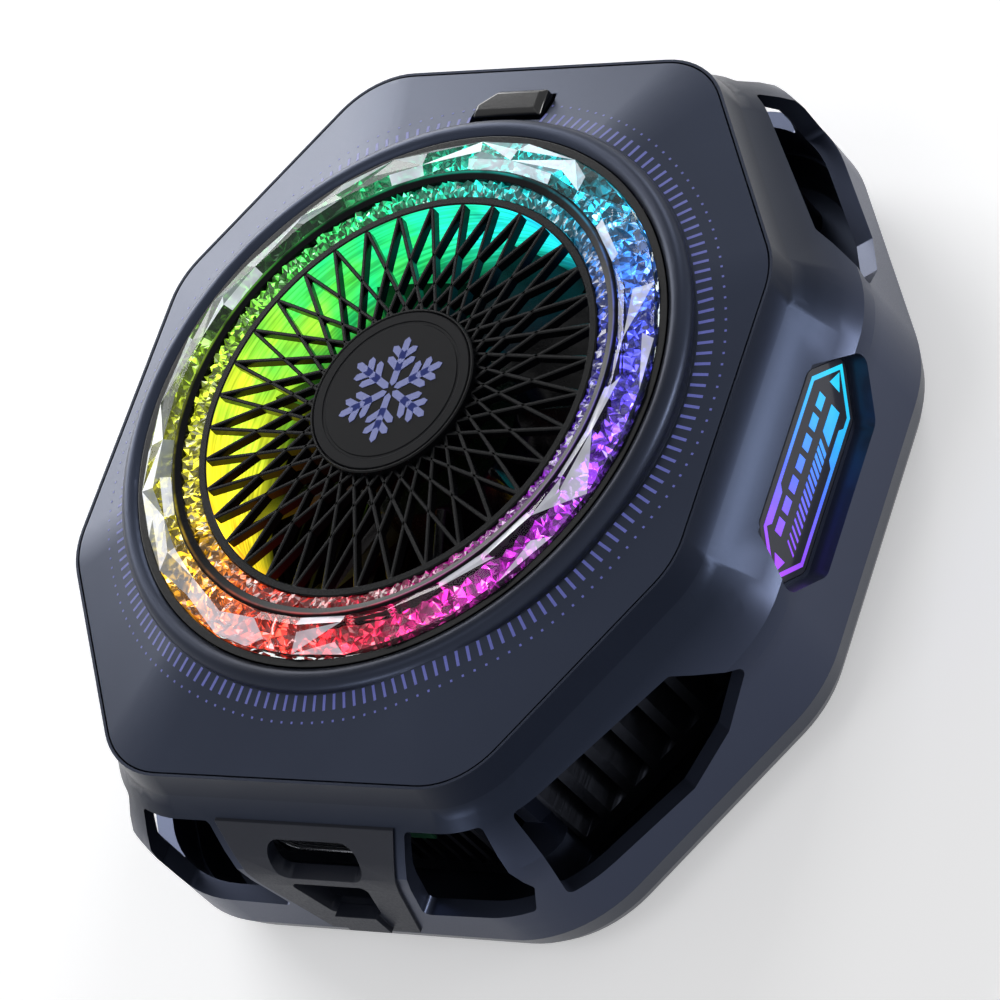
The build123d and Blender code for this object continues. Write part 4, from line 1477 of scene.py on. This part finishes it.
@dataclass
class Studio:
    """The camera, the lamps, the pale floor and the white surround, in metres."""

    location: Triple = (0.25897, -0.17611, 0.31554)
    right: Triple = (0.8066, 0.3021, -0.5081)
    up: Triple = (-0.0073, 0.8645, 0.5025)
    back: Triple = (0.5911, -0.4016, 0.6995)
    lens: float = 180.0
    sensor: float = 36.0
    near_clip: float = 0.01
    surround: float = 0.26
    floor_glow: float = 0.4
    floor_half: float = 6.0
    floor_drop: float = 0.2 * MM
    floor_cloud: float = 0.3
    lamps: tuple[Lamp, ...] = (
        Lamp("key", (-0.64, 0.63, -0.44), far=0.60, size=0.40, power=3.3),
        Lamp("top", (0.05, 1.0, -0.1), far=0.75, size=0.24, power=1.0),
        Lamp("right", (0.86, 0.27, 0.36), far=0.55, size=0.16, power=3.4),
        Lamp("front", (-0.9, 0.1, 0.9), far=0.80, size=0.30, power=0.5),
        Lamp("low", (-0.42, -0.85, 0.3), far=0.55, size=0.14, power=0.8),
    )
    target: Triple = (0.0, 0.0, 0.014)

    def axes(self) -> Matrix:
        """The camera's axes as a rotation."""
        return Matrix((self.right, self.up, self.back)).transposed()

    def camera(self) -> None:
        """Puts the camera where the photograph was taken from."""
        data = bpy.data.cameras.new("camera")
        data.lens = self.lens
        data.sensor_width = self.sensor
        data.clip_start = self.near_clip
        made = shown("camera", data)
        made.matrix_world = Matrix.Translation(self.location) @ self.axes().to_4x4()
        bpy.context.scene.camera = made

    def light(self, lamp: Lamp) -> None:
        """Adds a lamp.

        Args:
            lamp: its size, power and place.
        """
        data = bpy.data.lights.new(lamp.name, "AREA")
        data.shape = "SQUARE"
        data.size = lamp.size
        data.energy = lamp.power
        way = (self.axes() @ Vector(lamp.way)).normalized()
        turn = way.to_track_quat("Z", "Y").to_matrix().to_4x4()
        middle = Vector(self.target) + way * lamp.far
        shown(lamp.name, data).matrix_world = Matrix.Translation(middle) @ turn

    def seen(self, tree: NodeTree) -> Socket:
        """Tells rays that show a thing from rays that only light it.

        Args:
            tree: the tree to add the nodes to.

        Returns:
            An output that is 1 for camera, glossy and transmission rays.
        """
        rays = tree.node("ShaderNodeLightPath").outputs
        kinds = [rays[name] for name in ("Is Camera Ray", "Is Glossy Ray", "Is Transmission Ray")]
        return reduce(lambda total, kind: tree.math("MAXIMUM", total, kind), kinds)

    def surroundings(self) -> None:
        """Makes the world white where it is seen and softer where it only lights the object."""
        world = bpy.data.worlds.new("surround")
        world.use_nodes = True
        bpy.context.scene.world = world
        tree = NodeTree(world.node_tree)
        strength = tree.node("ShaderNodeMix", {0: self.seen(tree), 2: self.surround, 3: 1.0}).outputs[0]
        tree.fill(world.node_tree.nodes["Background"], {"Color": WHITE, "Strength": strength})

    def floor(self) -> None:
        """Lays a wide pale floor just under the contact face."""
        mesh = bmesh.new()
        bmesh.ops.create_grid(mesh, x_segments=1, y_segments=1, size=self.floor_half)
        bmesh.ops.translate(mesh, verts=mesh.verts, vec=(0, 0, -self.floor_drop))
        recipe = Recipe("pale_floor")
        finish = recipe.surface({
            "Base Color": recipe.mottled(recipe.noise(self.floor_cloud), "#f4f4f6", "#f7f7f8"),
            "Roughness": 0.9,
            "Specular IOR Level": 0.0,
            "Emission Color": WHITE,
            "Emission Strength": recipe.product(self.seen(recipe), self.floor_glow),
        })
        piece("floor", mesh, [finish])

    def build(self) -> None:
        """Sets up the whole studio."""
        self.camera()
        self.surroundings()
        self.floor()
        for lamp in self.lamps:
            self.light(lamp)
        bpy.context.scene.view_settings.view_transform = "Standard"


FINISHES: dict[str, Finish] = {
    # The face's lip carries painted shade
    "face": Lacquer("slate_lacquer", "#2b303e", "#323847", 0.35, lip=(27.2 * MM, 28.6 * MM)),
    # The shell's band carries painted shade and its foot painted light
    "shell": Lacquer("shell_lacquer", "#1c212e", "#232936", 0.34, 0.75, band=20.95 * MM, foot="#3c4254"),
    "rear": Lacquer("rear_lacquer", "#2a2f3c", "#323847", 0.34, 0.75),
    "panel": Moulded("panel_plastic", "#1a1d28", "#20242f", 0.4, 0.06, metallic=0.15, gloss=0.2),
    "gloss": Moulded("gloss_black", "#08090c", "#0c0d12", 0.16, 0.03, depth=0.001 * MM, gloss=0.25),
    "button": Moulded("button_black", "#0a0b0e", "#101116", 0.2, 0.04, depth=0.001 * MM, coat=0.2, gloss=0.3),
    "satin": Moulded("satin_black", "#141519", "#1a1b20", 0.42, 0.05, 0.15 * MM, 0.006 * MM, gloss=0.14),
    "hub": Moulded("hub_black", "#0c0d10", "#101115", 0.4, 0.05, 0.15 * MM, 0.004 * MM, gloss=0.04),
    "spoke": Moulded("spoke_black", "#0a0b0e", "#0f1013", 0.24, 0.05, 0.15 * MM, 0.003 * MM, gloss=0.1),
    "blade": Moulded("blade_black", "#0a0b0e", "#101115", 0.24, 0.05, 0.2 * MM, 0.004 * MM, gloss=0.3),
    "frame": Moulded("frame_black", "#101115", "#181a1f", 0.5, 0.06),
    "lens": Moulded("lens_glass", "#2a2c35", "#33353f", 0.14, 0.02, depth=0.001 * MM, gloss=0.3),
    "guide": Clear("guide_plastic", "#e8ecf4", "#ffffff", 0.3, through=0.6),
    "white": Moulded("white_plastic", "#e4e5e6", "#d8dadc", 0.4),
    "lamp": Moulded("lamp_resin", "#f2ecc8", "#f6f2dc", 0.25),
    "board": Laminate("board_resist", "#10261c", "#1d4a34"),
    "chip": Moulded("chip_resin", "#141518", "#1c1d21", 0.55),
    "fins": Metal("dark_fins", "#2a2c33", "#383b44", 0.38, Brush.LENGTHWISE),
    "plate": Metal("brushed_plate", "#b9bcc2", "#a8abb2", 0.28, Brush.ROUND),
    "steel": Metal("plated_steel", "#a3a6ad", "#8b8e96", 0.26, Brush.ROUND),
    "magnet": Metal("plated_magnet", "#9da0a6", "#84878e", 0.3),
    "bronze": Metal("bearing_bronze", "#a8783c", "#8c6230", 0.38),
    "copper": Metal("enamelled_copper", "#b4622c", "#9a4e20", 0.3, Brush.LENGTHWISE, 0.2 * MM),
    "ceramic": Moulded("white_ceramic", "#e6e3dc", "#dbd8d0", 0.55, grain=0.1 * MM),
    "ferrite": Moulded("dark_ceramic", "#26262a", "#303036", 0.5, grain=0.1 * MM),
    "paste": Moulded("grey_pad", "#8d9196", "#7f8388", 0.75, grain=0.3 * MM, depth=0.03 * MM),
    "rubber": Moulded("soft_rubber", "#1b1c20", "#232429", 0.68, grain=0.12 * MM, depth=0.02 * MM),
    "foam": Moulded("black_foam", "#101113", "#1c1d20", 0.9, grain=0.5 * MM, depth=0.25 * MM),
    "crystal": Clear("cut_crystal", "#f4f8ff", "#ffffff", 0.01),
    # The milky, frosted and bright facets give off painted light
    "milky": Clear("milky_facet", "#f6f4ff", "#ffffff", 0.1, through=0.62, painted_light=0.34),
    "frosted": Clear("frosted_facet", "#8d959c", "#b4bcc6", 0.2, through=0.5, painted_light=0.08),
    # A white facet that stands for a painted reflection
    "bright": Clear("bright_facet", "#ffffff", "#f2f6ff", 0.12, through=0.45, painted_light=0.5),
    # A dark tinted facet that stands for a painted dark reflection
    "smoky": Clear("painted_dark_facet", "#2c3331", "#56605e", 0.05, through=0.6),
    "ring": Crackle("ring_crackle", 2.6, (
        (0, 1.0), (50, 0.9), (82, 0.8), (104, 0.35), (200, 0.3), (236, 0.8), (359, 1.0)), 0.6 * MM, 0.4),
    "ice": Crackle("ice_crackle", 1.7, (
        (0, 0.2), (50, 0.5), (75, 1.0), (235, 1.0), (262, 0.35), (359, 0.25))),
    "duct": DuctGlow("duct_glow", 2.8, (
        (0, 0.02), (38, 0.05), (54, 0.8), (240, 1.0), (266, 0.35), (300, 0.06), (359, 0.03)),
        low=15.0 * MM, high=20.5 * MM),
    "rim": RimGlow("rim_glow", middle=21.95 * MM, width=0.16 * MM, strength=0.4),
    "marks": WindowGlow("window_glow", LightWindow.long * MM, strength=1.15),
    "ink": Ink("dial_ink", "#5f66b4", (
        (0, 0.95), (60, 0.6), (110, 0.4), (190, 0.4), (250, 0.8), (359, 0.95)), 0.45),
    "star": Ink("star_ink", "#5d68ad", ((0, 0.7), (359, 0.7)), 0.4),
}

# Each eased node's slot, finish, width of its eased edges in millimetres and bevel steps
EASED: tuple[tuple[str, str, str, float, int], ...] = (
    ("front_cover", "cover_plastic", "face", 0.22, 3),
    ("body_shell", "shell_plastic", "shell", 0.25, 3),
    ("rear_cover", "shell_plastic", "rear", 0.22, 3),
    ("port_panel", "shell_plastic", "panel", 0.16, 2),
    ("trim_ring", "black_gloss", "gloss", 0.08, 2),
    ("inner_bezel_ring", "black_gloss", "rim", 0.06, 2),
    ("light_duct", "duct_plastic", "duct", 0.0, 1),
    ("fan_frame", "black_satin", "frame", 0.0, 1),
    ("impeller", "blade_plastic", "blade", 0.0, 1),
    ("heat_sink", "fin_aluminium", "fins", 0.0, 1),
    ("contact_pad", "soft_rubber", "rubber", 0.1, 2),
    ("cold_plate", "plate_aluminium", "plate", 0.1, 2),
    ("usb_socket", "steel", "steel", 0.06, 2),
    ("usb_tongue", "black_satin", "satin", 0.05, 2),
    ("mode_button", "black_gloss", "button", 0.14, 3),
    ("right_window_lens", "lens_plastic", "lens", 0.1, 2),
    ("left_window_lens", "lens_plastic", "lens", 0.1, 2),
    ("cover_screws", "steel", "steel", 0.08, 2),
    ("sink_screws", "steel", "steel", 0.08, 2),
)

# The eased nodes that move, by their body
MOVING: dict[str, str] = {"impeller": "rotor", "mode_button": "button"}

# Past which angle in degrees an eased piece's edges stay sharp
CRISP: dict[str, float] = {"body_shell": 11.0, "rear_cover": 14.0}
USUAL_CRISP = 30.0

# The plain pieces that stay as they are, by their finish
CARRIED: dict[str, tuple[str, ...]] = {
    "board": ("ring_board", "fan_board", "main_board", "button_board", "right_window_board",
              "left_window_board"),
    "lamp": ("ring_leds", "right_window_leds", "left_window_leds"),
    "guide": ("right_window_guide", "left_window_guide"),
    "white": ("ring_carrier", "thrust_washer", "peltier_seal"),
    "steel": ("fan_screws", "stator_core", "rotor_yoke", "fan_shaft", "magnet_shield"),
    "magnet": ("ring_magnets",),
    "bronze": ("bearing_sleeve",),
    "copper": ("stator_coils",),
    "ferrite": ("rotor_magnet", "peltier_pellets"),
    "ceramic": ("peltier_hot_plate", "peltier_cold_plate"),
    "paste": ("thermal_pad",),
    "foam": ("insulation_foam",),
    "chip": ("temperature_sensor", "board_chips"),
    "satin": ("button_switch",),
}


def carry_over(palette: dict[str, Material]) -> None:
    """Gives each plain piece that stays its own finish.

    Args:
        palette: the materials by their short names.
    """
    for name, nodes in CARRIED.items():
        for node in nodes:
            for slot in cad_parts[node].material_slots:
                slot.link = "OBJECT"
                slot.material = palette[name]


def crumpled_rings(palette: dict[str, Material]) -> list[CrumpledRing]:
    """Sizes the light ring under the clear ring and the narrow ring round the grille.

    Args:
        palette: the materials by their short names.

    Returns:
        The two rings.
    """
    glow = CrumpledRing(
        "glow_ring_lit", "glow_ring", "glow_plastic", palette["ring"], inner=22.4, outer=25.5,
        base=23.85, inner_top=25.95, outer_top=25.95, rough=0.7, steps=290, trough=0.45)
    ice = CrumpledRing(
        "ice_ring_lit", "ice_ring", "frosted_plastic", palette["ice"], inner=19.93, outer=21.28,
        base=24.65, inner_top=27.0, outer_top=27.58, rough=0.4, rows=4, spikes=0.5, seed=8)
    return [glow, ice]


def main() -> None:
    """Builds each sub-assembly in order."""
    logging.basicConfig(level=logging.INFO, format="%(message)s")
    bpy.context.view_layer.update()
    Studio().build()
    palette = {name: finish.make() for name, finish in FINISHES.items()}
    carry_over(palette)
    LOG.info("finishes: %d", len(palette))
    eased = {}
    for node, slot, name, width, segments in EASED:
        body, crisp = MOVING.get(node, USUAL_BODY), CRISP.get(node, USUAL_CRISP)
        eased[node] = EasedPiece(node, slot, palette[name], width * MM, segments, body, crisp).build()
    facets = {kind: palette[kind.value] for kind in Facet}
    made = [*eased.values(), CrystalRing(facets).build()]
    made += [ring.build() for ring in crumpled_rings(palette)]
    made += DialMarks(eased["front_cover"], palette["ink"]).build()
    made += Grille(palette["spoke"], palette["duct"]).build()
    made += HubBadge(palette["hub"], palette["star"]).build()
    made += [LightWindow(side, palette["marks"]).build() for side in (1, -1)]
    for finished in made:
        LOG.info("%s: %d faces", finished.name, len(finished.data.polygons))


if __name__ == "__main__":
    main()
